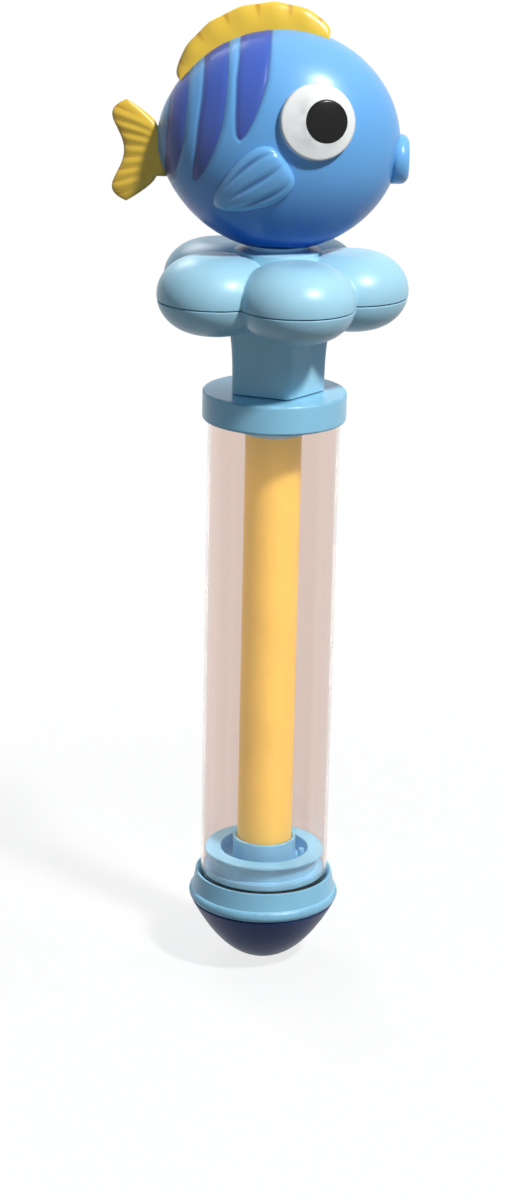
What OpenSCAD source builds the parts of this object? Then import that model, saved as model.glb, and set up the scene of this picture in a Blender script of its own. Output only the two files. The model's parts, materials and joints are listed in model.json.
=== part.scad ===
// Pump water squirter: a clear barrel with a nozzle, and a plunger whose grip is a
// five-petalled collar topped by a round toy fish.
// Z runs up the barrel from the outlet. The fish faces +X and its right side faces -Y.

/* [Barrel] */
// Outer diameter of the clear tube
tube_od = 40; // [36:0.5:46]
// Wall of the clear tube
tube_wall = 0.9; // [0.7:0.1:1.4]
// Length of the clear tube
tube_len = 159.4; // [120:0.2:220]

/* [Cap] */
// Thickness of the plate that closes the tube
cap_plate = 2.5; // [1.5:0.1:5]
// Length of the skirt down the outside of the tube
cap_skirt = 6.4; // [4:0.2:16]
// Wall of the skirt
cap_wall = 1.7; // [1.2:0.1:4]
// Rounding of the cap's outer edges
cap_round = 0.8; // [0.3:0.1:1]
// Wall of the boss that guides the rod
guide_wall = 1.6; // [1:0.1:4]
// Drop of the guide boss below the skirt
guide_drop = 3.8; // [0.6:0.2:10]

/* [Nozzle] */
// Height of the nozzle cone below the collar
cone_h = 19.6; // [16:0.2:26]
// Diameter of the flat land round the outlet
tip_flat_d = 6; // [4.5:0.1:9]
// Diameter of the outlet
outlet_d = 3; // [1.5:0.1:4]
// Length of the outlet's straight bore
outlet_len = 5; // [3:0.2:7]
// Wall of the spigot that the cone plugs into the collar with
spigot_wall = 2; // [1:0.1:4]
// Height of the collar's lip
lip_h = 3.7; // [3:0.1:7]
// Reach of the lip beyond the tube
lip_reach = 3.5; // [2.5:0.1:6]
// Height of the flared band above the lip
band_h = 5.5; // [3:0.1:12]
// Inset of the band's foot from the lip's edge
band_inset = 1; // [0.4:0.1:1.4]
// Wall of the band at its rim
rim_wall = 1.4; // [0.8:0.1:2]
// Thickness of the ledge that carries the tube
ledge_t = 2.4; // [1.5:0.1:2.9]
// Reach of the ledge inside the tube
ledge_reach = 1.5; // [0.8:0.1:4]
// Thickness of the gasket under the tube
gasket_t = 1; // [0.5:0.1:2]

/* [Plunger] */
// Diameter of the hollow rod
rod_d = 17.2; // [14:0.2:19]
// Wall of the rod
rod_wall = 1.5; // [1:0.1:2.5]
// Height of the piston from its foot to its top flange
piston_h = 13.1; // [11:0.1:20]
// Thickness of the piston's top flange
flange_t = 0.9; // [0.6:0.1:2.6]
// Depth that the piston's waist lies inside its flange
waist_in = 2; // [0.5:0.1:2.2]
// Height of the seal's middle above the piston's foot
seal_rise = 3.7; // [3.6:0.1:6]
// Thickness of the seal ring's cord
seal_cord = 3; // [2:0.1:4]
// Thickness of the land above the seal's groove
land_t = 1.9; // [0.8:0.1:3]
// Diameter of the recess round the hub
recess_d = 27.4; // [24:0.2:29]
// Depth of the recess
recess_depth = 4.6; // [1:0.1:6]
// Wall of the hub that holds the rod
hub_wall = 1.2; // [0.8:0.1:2.4]
// Rise of the hub above the flange
hub_rise = 3.8; // [1:0.1:8]
// Depth of the rod's socket below the hub's top
hub_socket = 9; // [5:0.2:14]
// Diameter of the moulding nub in the recess
nub_d = 2; // [1:0.1:3]
// Length of the plug in the rod's top end
plug_len = 14; // [12:0.5:30]

/* [Grip] */
// Wall of the five-sided neck at its flats
neck_wall = 3.8; // [2.5:0.1:6]
// Rounding of the neck's corners
neck_round = 2.5; // [1:0.1:4]
// Length of the neck below the petals
neck_len = 19.4; // [12:0.2:30]
// Depth of the rod's socket in the neck
neck_socket = 18; // [12:0.5:20]
// Thickness of the deck above the rod
deck_t = 3; // [2:0.2:5]
// Diameter of the circle that the petals' middles lie on
petal_ring_d = 43.5; // [40:0.5:46]
// Width of one petal
petal_d = 34.8; // [31:0.2:37]
// Height of one petal
petal_h = 23; // [18:0.5:30]
// Diameter of the flat that a petal is rounded off from, above and below
petal_flat_d = 9; // [4:0.5:14]
// Wall of the petals
petal_wall = 2; // [1.4:0.1:3]
// Drop of the parting seam below the petals' middle
seam_drop = 1.6; // [0:0.1:3]
// Wall of the core that joins the petals
core_wall = 2.5; // [1.6:0.1:4]
// Height of the lip that lines the two grip halves up
core_lip_h = 2.4; // [1:0.1:4]
// Diameter of the boss that the fish sits on
seat_d = 18; // [16:0.2:22]
// Diameter of the seat's wide foot between the petals
seat_foot_d = 25.6; // [23:0.2:28]
// Rise of the seat's foot above the petals' crowns
seat_foot_rise = 0.1; // [0:0.1:0.4]
// Rise of the fish's seat above the petals
seat_rise = 1.7; // [1:0.1:5]
// Thickness of the plate under the fish
seat_plate = 5; // [3:0.2:8]
// Diameter of the post that ties the fish to the grip
post_d = 8; // [6.5:0.2:9]
// Diameter of the post's flange
post_flange_d = 12; // [11:0.2:13]
// Thickness of the post's flange
post_flange_t = 2.5; // [1.5:0.1:4]

/* [Fish] */
// Length of the fish's body
fish_len = 69; // [60:0.5:80]
// Height of the fish's body
fish_h = 65; // [58:0.5:76]
// Thickness of the fish's body
fish_w = 48; // [42:0.5:56]
// Wall of the fish's shells
fish_wall = 2.2; // [1.6:0.1:3]
// Depth that the fish's belly sinks round its seat
seat_sink = 1.7; // [1.2:0.1:2.4]
// Rise of the dorsal fin above the back
dorsal_h = 7.8; // [5:0.2:14]
// Thickness of the dorsal fin at its root
dorsal_t = 5.2; // [3:0.1:8]
// Length of the tail fin behind the body
tail_len = 15; // [10:0.5:24]
// Height of the tail fin
tail_h = 30; // [20:0.5:40]
// Drop of the tail fin below the middle of the body
tail_drop = 4; // [0:0.5:6]
// Height of the tail fin's root
tail_root_h = 15; // [10:0.5:18]
// Thickness of the tail fin at its root
tail_t = 5; // [3:0.1:8]
// Depth of the fins' tabs inside the shells
fin_tab = 4; // [2.5:0.1:5]
// Length of a side fin
side_fin_len = 25; // [18:0.5:28]
// Width of a side fin
side_fin_w = 17; // [12:0.5:20]
// Thickness of a side fin in its middle
side_fin_t = 2.8; // [1.5:0.1:5]
// Diameter of an eye
eye_d = 22; // [16:0.5:25]
// Height of an eye's dome
eye_dome = 2; // [1:0.1:4]
// Diameter of a pupil
pupil_d = 12.4; // [8:0.2:14]
// Diameter of the round mouth, to the middle of its lip
mouth_d = 9.4; // [8:0.2:12]
// Thickness of the mouth's lip
mouth_lip = 5.2; // [3.5:0.1:6.5]

/* [Screws] */
// Diameter of the screws' shanks
screw_d = 3.2; // [2.5:0.1:3.6]
// Diameter of the small screws' heads
screw_head_d = 6; // [5:0.1:6.6]
// Height of the screws' heads
screw_head_h = 2.2; // [1.5:0.1:3]
// Diameter of the washer head under the fish
washer_head_d = 13; // [11:0.2:14]

/* [Hidden] */
$fn = 96;

// Overrun of every cut past the face that it opens
overrun = 1;
// Gap of glued and plugged seats, all round
glue_gap = 0.1;
// Gap of the rod in its guide
guide_gap = 0.25;
// Gap between the piston and the tube
piston_gap = 0.3;
// Gap of the seal ring to the tube and to its groove
seal_gap = 0.05;
// Gap left at rest under the neck and under the piston
rest_gap = 0.4;
// Gap of a screw's shank in its hole, and of its head in its recess
screw_gap = 0.1;
// Gap between a side fin and the flank
fin_gap = 0.15;

// Barrel and nozzle, worked out
tube_r = tube_od / 2;
bore_r = tube_r - tube_wall;
socket_r = tube_r + glue_gap;
ledge_r = bore_r - ledge_reach;
lip_r = tube_r + lip_reach;
spigot_r = ledge_r - glue_gap;
// Rounding of the lip, as a share of its height, and flat left on the band's rim, as a share of its wall
lip_round_share = 0.46;
rim_flat_share = 0.35;
lip_round = lip_round_share * lip_h;
rim_chamfer = (1 - rim_flat_share) * rim_wall;
ledge_z = cone_h + ledge_t;
tube_z = ledge_z + gasket_t;
tube_top = tube_z + tube_len;
cap_top = tube_top + cap_plate;
skirt_z = tube_top - cap_skirt;
guide_z = skirt_z - guide_drop;
cap_r = socket_r + cap_wall;
rod_r = rod_d / 2;
guide_r = rod_r + guide_gap;

// Inset of the cone's base from the lip
cone_inset = 0.6;
cone_r = lip_r - cone_inset;
tip_r = tip_flat_d / 2;
// Power of the cone's rise over its radius, which bulges its side, and steps along that side
cone_power = 2.2;
cone_steps = 14;

// Piston and rod, worked out
piston_z = tube_z + rest_gap;
piston_top = piston_z + piston_h;
piston_r = bore_r - piston_gap;
waist_r = piston_r - waist_in;
seal_r = bore_r - seal_gap - seal_cord / 2;
groove_r = seal_r - seal_cord / 2 - seal_gap;
seal_z = piston_z + seal_rise;
groove_half = seal_cord / 2 + seal_gap;
land_z = seal_z + groove_half;
hub_r = rod_r + glue_gap + hub_wall;
hub_top = piston_top + hub_rise;
rod_z = hub_top - hub_socket;
// Chamfer of the piston's foot
foot_chamfer = 1;
// Height of the moulding nub, as a share of the recess's depth
nub_share = 0.85;

// Grip, worked out
petal_count = 5;
// Flats that round each corner of the neck
corner_steps = 6;
// Turn of the first petal away from the fish's nose
petal_turn_angle = -2.5;
petal_r = petal_d / 2;
petal_pitch = 360 / petal_count;
neck_z = cap_top + rest_gap;
neck_flat = rod_r + glue_gap + neck_wall;
neck_corner = (neck_flat - neck_round) / cos(petal_pitch / 2);
rod_top = neck_z + neck_socket;
deck_top = rod_top + deck_t;
petal_z = neck_z + neck_len + petal_h / 2;
seam_z = petal_z - seam_drop;
seat_z = petal_z + petal_h / 2 + seat_rise;
plate_z = seat_z - seat_plate;
seat_foot_z = petal_z + petal_h / 2 + seat_foot_rise;
// How far below its top the seat starts to widen, as a share of the fish's sink
seat_neck_share = 0.6;
petal_reach = petal_ring_d / 2 + petal_r;
// Room round the washer head inside the core
core_room = 2;
core_bore = washer_head_d / 2 + core_room;
core_r = core_bore + core_wall;
// Wall of the lip that lines the halves up, and how deep it starts below the seam
core_lip_wall = 1.4;
core_lip_root = 3;

// Post and screws, worked out
screw_r = screw_d / 2;
post_r = post_d / 2;
// Rise of the post's flange above the seat, and of its top above the flange
post_flange_rise = 4;
post_tip = 2.5;
// Wall of the block in the fish that holds the post
post_wall = 2.5;
block_r = post_flange_d / 2 + post_wall;
block_h = post_flange_rise + post_flange_t + post_tip + post_wall;
// Length of screw in the rod's plug and in the post
plug_thread = 10;
post_thread = 8;
// Depth of pilot left free past a screw's end
pilot_spare = 1;

// Fish, worked out
fish_z = seat_z - seat_sink + fish_h / 2;
// How much the nose and the tail stalk stand out of the plain oval, and how narrow they are
nose_share = 0.02;
stalk_share = 0.05;
nose_power = 12;
stalk_power = 24;
// Facets round the outline and from flank to mid-plane, outside and inside
skin_steps = [48, 12];
wall_steps = [32, 8];

// Eyes and mouth
eye_x_share = 0.30;
eye_z_share = 0.27;
// Depth of the eye's flat seat under the skin, and of the edge that stands proud
eye_depth = 2.4;
eye_edge = 0.9;
eye_seat_t = 2;
// Depth and rise of the pupil, and how far forward it sits
pupil_depth = 1.3;
pupil_rise = 0.35;
pupil_shift_share = 0.1;
mouth_angle = -8;
// Depth of the mouth's flat seat under the nose, and size of its peg
mouth_depth = 2.2;
mouth_peg_r = 3.4;
mouth_peg_len = 5;
mouth_wall = 2;
mouth_hole_share = 0.55;

// Dorsal fin: where it starts and ends round the back, and its rays
dorsal_front_angle = 66;
dorsal_back_angle = 150;
dorsal_rays = 6;
dorsal_steps = [36, 6];
dorsal_ray_share = 0.2;
dorsal_scallop_share = 0.05;
dorsal_edge_share = 0.45;
dorsal_lean_share = 1.15;
dorsal_foot_share = 0.06;

// Tail fin: its notch, rays, thin edge and round tips
tail_steps = [12, 32];
tail_rays = 8;
tail_notch_share = 0.35;
tail_ray_share = 0.26;
tail_edge_share = 0.4;
tail_flare_share = 0.7;
tail_tip_share = 0.4;
tail_tip_power = 6;

// Side fins: root on the flank, heading of the fin's length, and its grooves
fin_x_share = 0.05;
fin_z_share = -0.08;
fin_heading_angle = 215;
fin_steps = [18, 14];
fin_grooves = 3;
fin_groove_share = 0.24;
fin_peg_r = 2;
fin_peg_len = 5;
fin_peg_share = 0.35;
fin_edge_share = 0.3;
fin_round_share = 0.55;

// Places of the shell screws, as shares of the body's half length and half height
screw_shares = [[-0.64, 0.32], [0.53, -0.42], [-0.10, 0.72]];
// Wall round a shell screw, and length of screw past the mid-plane
boss_wall = 1.8;
screw_bite = 8;
screw_land = 3;

function flatten(rows) = [for (row = rows) each row];

// Polar radius of the body's outline at angle a, grown outwards by grow
function outline_r(a, grow) =
    let (oval = 1 / norm([2 * cos(a) / fish_len, 2 * sin(a) / fish_h]))
    let (nose = nose_share * pow((1 + cos(a - mouth_angle)) / 2, nose_power))
    let (stalk = stalk_share * pow((1 - cos(a)) / 2, stalk_power))
    oval * (1 + nose + stalk) + grow;

// Point of the body's skin at outline angle a and rise e from the mid-plane to a flank
function skin_point(a, e, grow) =
    let (r = outline_r(a, grow))
    [r * cos(e) * cos(a), (fish_w / 2 + grow) * sin(e), r * cos(e) * sin(a)];

// Half thickness of the body above the mid-plane point x, z
function flank(x, z) =
    let (r = norm([x, z]) / outline_r(atan2(z, x), 0))
    fish_w / 2 * sqrt(max(0, 1 - r * r));

// Outward direction of the right flank at x, z, from slopes measured across step
function flank_normal(x, z, step = fish_wall) =
    let (slope_x = (flank(x + step, z) - flank(x - step, z)) / (2 * step))
    let (slope_z = (flank(x, z + step) - flank(x, z - step)) / (2 * step))
    [-slope_x, -1, -slope_z] / norm([slope_x, 1, slope_z]);

// Closed slab between two grids of points, rows of equal length, the first grid on the -Y side
module slab(near, far) {
    rows = len(near);
    cols = len(near[0]);
    size = rows * cols;
    quads = [for (i = [0 : rows - 2]) for (j = [0 : cols - 2])
        [i * cols + j, i * cols + j + 1, (i + 1) * cols + j + 1, (i + 1) * cols + j]];
    rim = concat([for (j = [0 : cols - 2]) j], [for (i = [0 : rows - 2]) i * cols + cols - 1],
        [for (j = [cols - 1 : -1 : 1]) (rows - 1) * cols + j], [for (i = [rows - 1 : -1 : 1]) i * cols]);
    near_faces = [for (q = quads) each [[q[0], q[1], q[2]], [q[0], q[2], q[3]]]];
    far_faces = [for (f = near_faces) [f[2] + size, f[1] + size, f[0] + size]];
    rim_faces = [for (k = [0 : len(rim) - 1])
        let (a = rim[k], b = rim[(k + 1) % len(rim)])
        each [[b, a, a + size], [b, a + size, b + size]]];
    polyhedron(concat(flatten(near), flatten(far)), concat(near_faces, far_faces, rim_faces));
}

// Ring section with its two outer edges rounded
module rounded_section(r_in, r_out, z_low, z_high, edge) {
    translate([r_in, z_low]) square([r_out - edge - r_in, z_high - z_low]);
    translate([r_out - 2 * edge, z_low + edge]) square([2 * edge, z_high - z_low - 2 * edge]);
    for (z = [z_low + edge, z_high - edge]) translate([r_out - edge, z]) circle(edge);
}

// Straight ring or disc section
module section(r_in, r_out, z_low, z_high) {
    translate([r_in, z_low]) square([r_out - r_in, z_high - z_low]);
}

module barrel_tube() {
    color("mistyrose", 0.4) rotate_extrude() section(bore_r, tube_r, tube_z, tube_top);
}

module top_cap() {
    color("skyblue") rotate_extrude() {
        difference() {
            rounded_section(guide_r, cap_r, skirt_z, cap_top, cap_round);
            section(guide_r - overrun, socket_r, skirt_z - overrun, tube_top);
        }
        section(guide_r, guide_r + guide_wall, guide_z, tube_top);
    }
}

module nozzle_collar() {
    band_z = cone_h + lip_h;
    band_r = lip_r - band_inset;
    rim_z = band_z + band_h;
    color("skyblue") rotate_extrude() difference() {
        union() {
            rounded_section(ledge_r, lip_r, cone_h, band_z, lip_round);
            polygon([[socket_r, ledge_z], [lip_r - lip_round, ledge_z], [band_r, band_z - lip_round],
                [band_r, band_z], [socket_r + rim_wall, rim_z], [socket_r + rim_chamfer, rim_z],
                [socket_r, rim_z - rim_chamfer]]);
        }
        section(ledge_r - overrun, socket_r, ledge_z, rim_z + overrun);
    }
}

// Point of the cone's bulged side at a share t of the way from its tip to its base
function cone_point(t) =
    let (r = tip_r + t * (cone_r - tip_r))
    let (low = pow(tip_r, cone_power), high = pow(cone_r, cone_power))
    [r, cone_h * (pow(r, cone_power) - low) / (high - low)];

module nozzle_cone() {
    color("midnightblue") difference() {
        rotate_extrude() {
            polygon(concat([for (i = [0 : cone_steps]) cone_point(i / cone_steps)], [[0, cone_h], [0, 0]]));
            section(0, spigot_r, cone_h, ledge_z);
        }
        translate([0, 0, -overrun]) cylinder(h = outlet_len + 2 * overrun, d = outlet_d);
        translate([0, 0, outlet_len])
            cylinder(h = cone_h - outlet_len, r1 = outlet_d / 2, r2 = spigot_r - spigot_wall);
        translate([0, 0, cone_h]) cylinder(h = ledge_t + overrun, r = spigot_r - spigot_wall);
    }
}

module nozzle_gasket() {
    color("black") rotate_extrude() section(ledge_r, tube_r, ledge_z, tube_z);
}

module piston() {
    color("lightskyblue") {
        rotate_extrude() polygon([[0, piston_z], [piston_r - foot_chamfer, piston_z],
            [piston_r, piston_z + foot_chamfer], [piston_r, seal_z - groove_half],
            [groove_r, seal_z - groove_half], [groove_r, land_z], [piston_r, land_z],
            [piston_r, land_z + land_t], [waist_r, land_z + land_t], [waist_r, piston_top - flange_t],
            [piston_r, piston_top - flange_t], [piston_r, piston_top],
            [recess_d / 2, piston_top], [recess_d / 2, piston_top - recess_depth],
            [hub_r, piston_top - recess_depth], [hub_r, hub_top],
            [rod_r + glue_gap, hub_top], [rod_r + glue_gap, rod_z], [0, rod_z]]);
        translate([(hub_r + recess_d / 2) / 2, 0, piston_top - recess_depth])
            cylinder(h = nub_share * recess_depth, d = nub_d);
    }
}

module piston_seal() {
    color("black") rotate_extrude() translate([seal_r, seal_z]) circle(d = seal_cord);
}

module plunger_rod() {
    color("gold") rotate_extrude() section(rod_r - rod_wall, rod_r, rod_z, rod_top);
}

module rod_end_plug() {
    color("white") difference() {
        translate([0, 0, rod_top - plug_len]) cylinder(h = plug_len, r = rod_r - rod_wall - glue_gap);
        translate([0, 0, rod_top - plug_thread - pilot_spare])
            cylinder(h = plug_thread + pilot_spare + overrun, r = screw_r + screw_gap);
    }
}

// Screw along Z with the underside of its head at the origin and its shank below
module screw(shank, head) {
    translate([0, 0, -shank]) cylinder(h = shank, r = screw_r);
    cylinder(h = screw_head_h, d = head);
}

module handle_screw() {
    color("silver") translate([0, 0, deck_top]) screw(deck_t + plug_thread, screw_head_d);
}

// Section of the five-sided neck, a rounded corner under each petal
module neck_section() {
    polygon([for (i = [0 : petal_count - 1]) for (k = [0 : corner_steps])
        let (a = petal_turn_angle + i * petal_pitch, b = a + (k / corner_steps - 1 / 2) * petal_pitch)
        neck_corner * [cos(a), sin(a)] + neck_round * [cos(b), sin(b)]]);
}

// The five petals as flattened cushions, drawn in from their skin by inset
module petals(inset) {
    flat_r = petal_flat_d / 2;
    side_r = petal_r - flat_r - inset;
    for (i = [0 : petal_count - 1])
        rotate([0, 0, petal_turn_angle + i * petal_pitch]) translate([petal_ring_d / 2, 0, petal_z])
            scale([1, 1, (petal_h / 2 - inset) / side_r]) rotate_extrude() {
                section(0, flat_r, -side_r, side_r);
                intersection() {
                    translate([flat_r, 0]) circle(side_r);
                    section(0, petal_r, -side_r, side_r);
                }
            }
}

// Hollows of the petals, which stop at the core
module petal_hollows() {
    difference() {
        petals(petal_wall);
        translate([0, 0, petal_z - petal_h]) cylinder(h = 2 * petal_h, r = core_r);
    }
}

// Slab of space as wide as the petals, from one height to another
module petal_slice(z_low, z_high) {
    translate([-petal_reach - overrun, -petal_reach - overrun, z_low])
        cube([2 * petal_reach + 2 * overrun, 2 * petal_reach + 2 * overrun, z_high - z_low]);
}

module petal_lower_shell() {
    color("lightblue") {
        difference() {
            union() {
                intersection() {
                    petals(0);
                    petal_slice(petal_z - petal_h, seam_z);
                }
                translate([0, 0, neck_z]) linear_extrude(seam_z - neck_z) neck_section();
            }
            petal_hollows();
            translate([0, 0, neck_z - overrun])
                cylinder(h = neck_socket + overrun, r = rod_r + glue_gap);
            translate([0, 0, rod_top - overrun]) cylinder(h = deck_t + 2 * overrun, r = screw_r + screw_gap);
            translate([0, 0, deck_top]) cylinder(h = seam_z - deck_top + overrun, r = core_bore);
        }
        rotate_extrude()
            section(core_bore - glue_gap - core_lip_wall, core_bore - glue_gap, seam_z, seam_z + core_lip_h);
        rotate_extrude() section(core_bore - glue_gap - core_lip_wall, core_bore + glue_gap,
            seam_z - core_lip_root, seam_z);
    }
}

module petal_upper_shell() {
    seat_neck_z = seat_z - seat_neck_share * seat_sink;
    color("lightblue") difference() {
        union() {
            intersection() {
                petals(0);
                petal_slice(seam_z, petal_z + petal_h);
            }
            translate([0, 0, seam_z]) cylinder(h = seat_foot_z - seam_z, d = seat_foot_d);
            translate([0, 0, seat_foot_z])
                cylinder(h = seat_neck_z - seat_foot_z, d1 = seat_foot_d, d2 = seat_d);
            translate([0, 0, plate_z]) cylinder(h = seat_plate, d = seat_d);
        }
        petal_hollows();
        translate([0, 0, seam_z - overrun]) cylinder(h = plate_z - seam_z + overrun, r = core_bore);
        translate([0, 0, plate_z - overrun]) cylinder(h = seat_plate + 2 * overrun, r = post_r + glue_gap);
    }
}

module fish_post() {
    flange_z = seat_z + post_flange_rise;
    foot_z = plate_z + rest_gap;
    top_z = flange_z + post_flange_t + post_tip;
    color("white") difference() {
        union() {
            translate([0, 0, foot_z]) cylinder(h = top_z - foot_z, r = post_r);
            translate([0, 0, flange_z]) cylinder(h = post_flange_t, d = post_flange_d);
        }
        translate([0, 0, foot_z - overrun])
            cylinder(h = post_thread + pilot_spare + overrun, r = screw_r + screw_gap);
    }
}

module post_screw() {
    color("silver") translate([0, 0, plate_z]) rotate([180, 0, 0])
        screw(post_thread, washer_head_d);
}

// Right half of the fish's round body about its own middle, carried past the mid-plane by past
module fish_half(grow, past, steps) {
    around = steps[0];
    rings = steps[1];
    turn = 360 / around;
    rise = 90 / rings;
    skin = [for (j = [1 : rings]) for (i = [0 : around - 1]) skin_point(i * turn, j * rise - 90, grow)];
    rim = [for (i = [0 : around - 1]) skin_point(i * turn, 0, grow) + [0, past, 0]];
    pole = [0, -fish_w / 2 - grow, 0];
    points = concat([pole], skin, past > 0 ? rim : []);
    last = past > 0 ? rings : rings - 1;
    cap = [for (i = [0 : around - 1]) [0, 1 + (i + 1) % around, 1 + i]];
    sides = [for (j = [0 : last - 1]) for (i = [0 : around - 1])
        let (k = (i + 1) % around, a = 1 + j * around, b = a + around)
        each [[a + i, b + k, b + i], [a + i, a + k, b + k]]];
    flat = [for (i = [0 : around - 1]) 1 + last * around + i];
    polyhedron(points, concat(cap, sides, [flat]));
}

// Puts its children on the right flank, their Z pointing straight out of the skin
module on_flank(x, z) {
    n = flank_normal(x, z);
    translate([x, -flank(x, z), z]) rotate([0, acos(n[2]), atan2(n[1], n[0])]) children();
}

module on_eye() {
    on_flank(eye_x_share * fish_len / 2, eye_z_share * fish_h / 2) children();
}

// Puts its children at the nose, their Z pointing forwards
module on_mouth() {
    r = outline_r(mouth_angle, 0);
    translate([r * cos(mouth_angle) - mouth_depth, 0, r * sin(mouth_angle)]) rotate([0, 90, 0]) children();
}

// Puts its children on each shell screw's line, their Z pointing to the left side
module on_screws() {
    for (s = screw_shares)
        translate([s[0] * fish_len / 2, 0, s[1] * fish_h / 2]) rotate([-90, 0, 0]) children();
}

// Blocks that stand inside the right shell: post holder, screw bosses, eye and mouth seats
module fish_blocks() {
    mouth_r = (mouth_d + mouth_lip) / 2;
    translate([0, 0, seat_z - fish_z]) cylinder(h = block_h, r = block_r);
    on_screws() cylinder(h = fish_w, r = screw_r + boss_wall, center = true);
    on_eye() translate([0, 0, -eye_depth - eye_seat_t])
        cylinder(h = eye_depth + eye_seat_t + overrun, d = eye_d + 2 * fish_wall);
    on_mouth() translate([0, 0, -mouth_wall - mouth_peg_len])
        cylinder(h = mouth_depth + mouth_wall + mouth_peg_len, r = mouth_peg_r + mouth_wall);
    on_mouth() translate([0, 0, -mouth_wall])
        cylinder(h = mouth_depth + mouth_wall, r = mouth_r + mouth_wall);
}

// Room for the post, its flange and the boss that the fish sits on
module post_room() {
    base = seat_z - fish_z;
    translate([0, 0, base - fish_h]) cylinder(h = fish_h, d = seat_d + 2 * glue_gap);
    translate([0, 0, base - overrun])
        cylinder(h = block_h - post_wall + glue_gap + overrun, r = post_r + glue_gap);
    translate([0, 0, base + post_flange_rise - glue_gap])
        cylinder(h = post_flange_t + 2 * glue_gap, d = post_flange_d + 2 * glue_gap);
}

// Outline of the dorsal fin's slot in the shells' rims
module dorsal_slot() {
    turn = (dorsal_back_angle - dorsal_front_angle) / dorsal_steps[0];
    angles = [for (i = [0 : dorsal_steps[0]]) dorsal_front_angle + i * turn];
    inner = [for (a = angles) (outline_r(a, 0) - fin_tab - glue_gap) * [cos(a), sin(a)]];
    outer = [for (i = [dorsal_steps[0] : -1 : 0])
        (outline_r(angles[i], 0) + overrun) * [cos(angles[i]), sin(angles[i])]];
    rotate([90, 0, 0]) linear_extrude(dorsal_t + 2 * glue_gap, center = true)
        polygon(concat(inner, outer));
}

// Slot of the tail fin's tab
module tail_slot() {
    r = outline_r(180, 0);
    translate([-r - overrun, -tail_t / 2 - glue_gap, -tail_drop - tail_root_h / 2 - glue_gap])
        cube([fin_tab + glue_gap + overrun, tail_t + 2 * glue_gap, tail_root_h + 2 * glue_gap]);
}

// The right shell with everything cut but the screws' holes
module plain_shell() {
    difference() {
        fish_half(0, 0, skin_steps);
        difference() {
            fish_half(-fish_wall, overrun, wall_steps);
            fish_blocks();
        }
        post_room();
        dorsal_slot();
        tail_slot();
        on_eye() translate([0, 0, -eye_depth]) cylinder(h = eye_d, r = eye_d / 2 + glue_gap);
        on_mouth() cylinder(h = fish_len, r = (mouth_d + mouth_lip) / 2 + glue_gap);
        on_mouth() translate([0, 0, -mouth_peg_len - glue_gap])
            cylinder(h = mouth_peg_len + 2 * glue_gap, r = mouth_peg_r + glue_gap);
        side_fin_peg(glue_gap);
    }
}

module fish_shell_right() {
    color("steelblue") translate([0, 0, fish_z]) difference() {
        plain_shell();
        on_screws() translate([0, 0, -screw_bite - pilot_spare])
            cylinder(h = screw_bite + pilot_spare + overrun, r = screw_r + screw_gap);
    }
}

module fish_shell_left() {
    color("steelblue") translate([0, 0, fish_z]) difference() {
        mirror([0, 1, 0]) plain_shell();
        on_screws() translate([0, 0, -overrun]) cylinder(h = fish_w, r = screw_r + screw_gap);
        on_screws() translate([0, 0, screw_land])
            cylinder(h = fish_w, r = screw_head_d / 2 + screw_gap);
    }
}

module shell_screws() {
    color("silver") translate([0, 0, fish_z]) on_screws() translate([0, 0, screw_land])
        screw(screw_land + screw_bite, screw_head_d);
}

// Height of the dorsal fin above the back, at a share t of its length, with one scallop between rays
function dorsal_rise(t) =
    let (arch = pow(sin(180 * pow(t, dorsal_lean_share)), dorsal_edge_share))
    let (scallop = 1 - dorsal_scallop_share * pow(sin(180 * dorsal_rays * t), 2))
    dorsal_h * (dorsal_foot_share + (1 - dorsal_foot_share) * arch * scallop);

// Point of the dorsal fin at a share t of its length and s of its rise, side -1 right or 1 left
function dorsal_point(t, s, side) =
    let (a = dorsal_back_angle + t * (dorsal_front_angle - dorsal_back_angle))
    let (edge = 1 - (1 - dorsal_edge_share) * s * s)
    let (ray = 1 - dorsal_ray_share * s * pow(sin(180 * dorsal_rays * t), 2))
    let (r = outline_r(a, 0) + s * dorsal_rise(t))
    [r * cos(a), side * dorsal_t / 2 * edge * ray, r * sin(a)];

// Point of the dorsal fin's tab inside the shells
function dorsal_tab(t, side) =
    let (a = dorsal_back_angle + t * (dorsal_front_angle - dorsal_back_angle), r = outline_r(a, 0) - fin_tab)
    [r * cos(a), side * dorsal_t / 2, r * sin(a)];

function dorsal_grid(side) =
    let (along = dorsal_steps[0], up = dorsal_steps[1])
    [for (i = [0 : along]) concat([dorsal_tab(i / along, side)],
        [for (j = [0 : up]) dorsal_point(i / along, j / up, side)])];

module dorsal_fin() {
    color("gold") translate([0, 0, fish_z]) slab(dorsal_grid(-1), dorsal_grid(1));
}

// Point of the tail fin at a share u of its length and v from -1 to 1 across it
function tail_point(u, v, side) =
    let (notch = 1 - tail_notch_share * pow(cos(90 * v), 2))
    let (reach = tail_len * notch * (1 - tail_tip_share * pow(abs(v), tail_tip_power)))
    let (half = tail_root_h + (tail_h - tail_root_h) * pow(u, tail_flare_share))
    let (edge = 1 - (1 - tail_edge_share) * u)
    let (ray = 1 - tail_ray_share * u * pow(sin(90 * tail_rays * v), 2))
    [-outline_r(180, 0) - u * reach, side * tail_t / 2 * edge * ray, v * half / 2 - tail_drop];

function tail_tab(v, side) =
    [-outline_r(180, 0) + fin_tab, side * tail_t / 2, v * tail_root_h / 2 - tail_drop];

function tail_grid(side) =
    let (out = tail_steps[0], across = tail_steps[1])
    [for (j = [0 : across]) let (v = 2 * j / across - 1)
        concat([tail_tab(v, side)], [for (i = [0 : out]) tail_point(i / out, v, side)])];

module tail_fin() {
    color("gold") translate([0, 0, fish_z]) slab(tail_grid(-1), tail_grid(1));
}

fin_root = [fin_x_share * fish_len / 2, fin_z_share * fish_h / 2];

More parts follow.
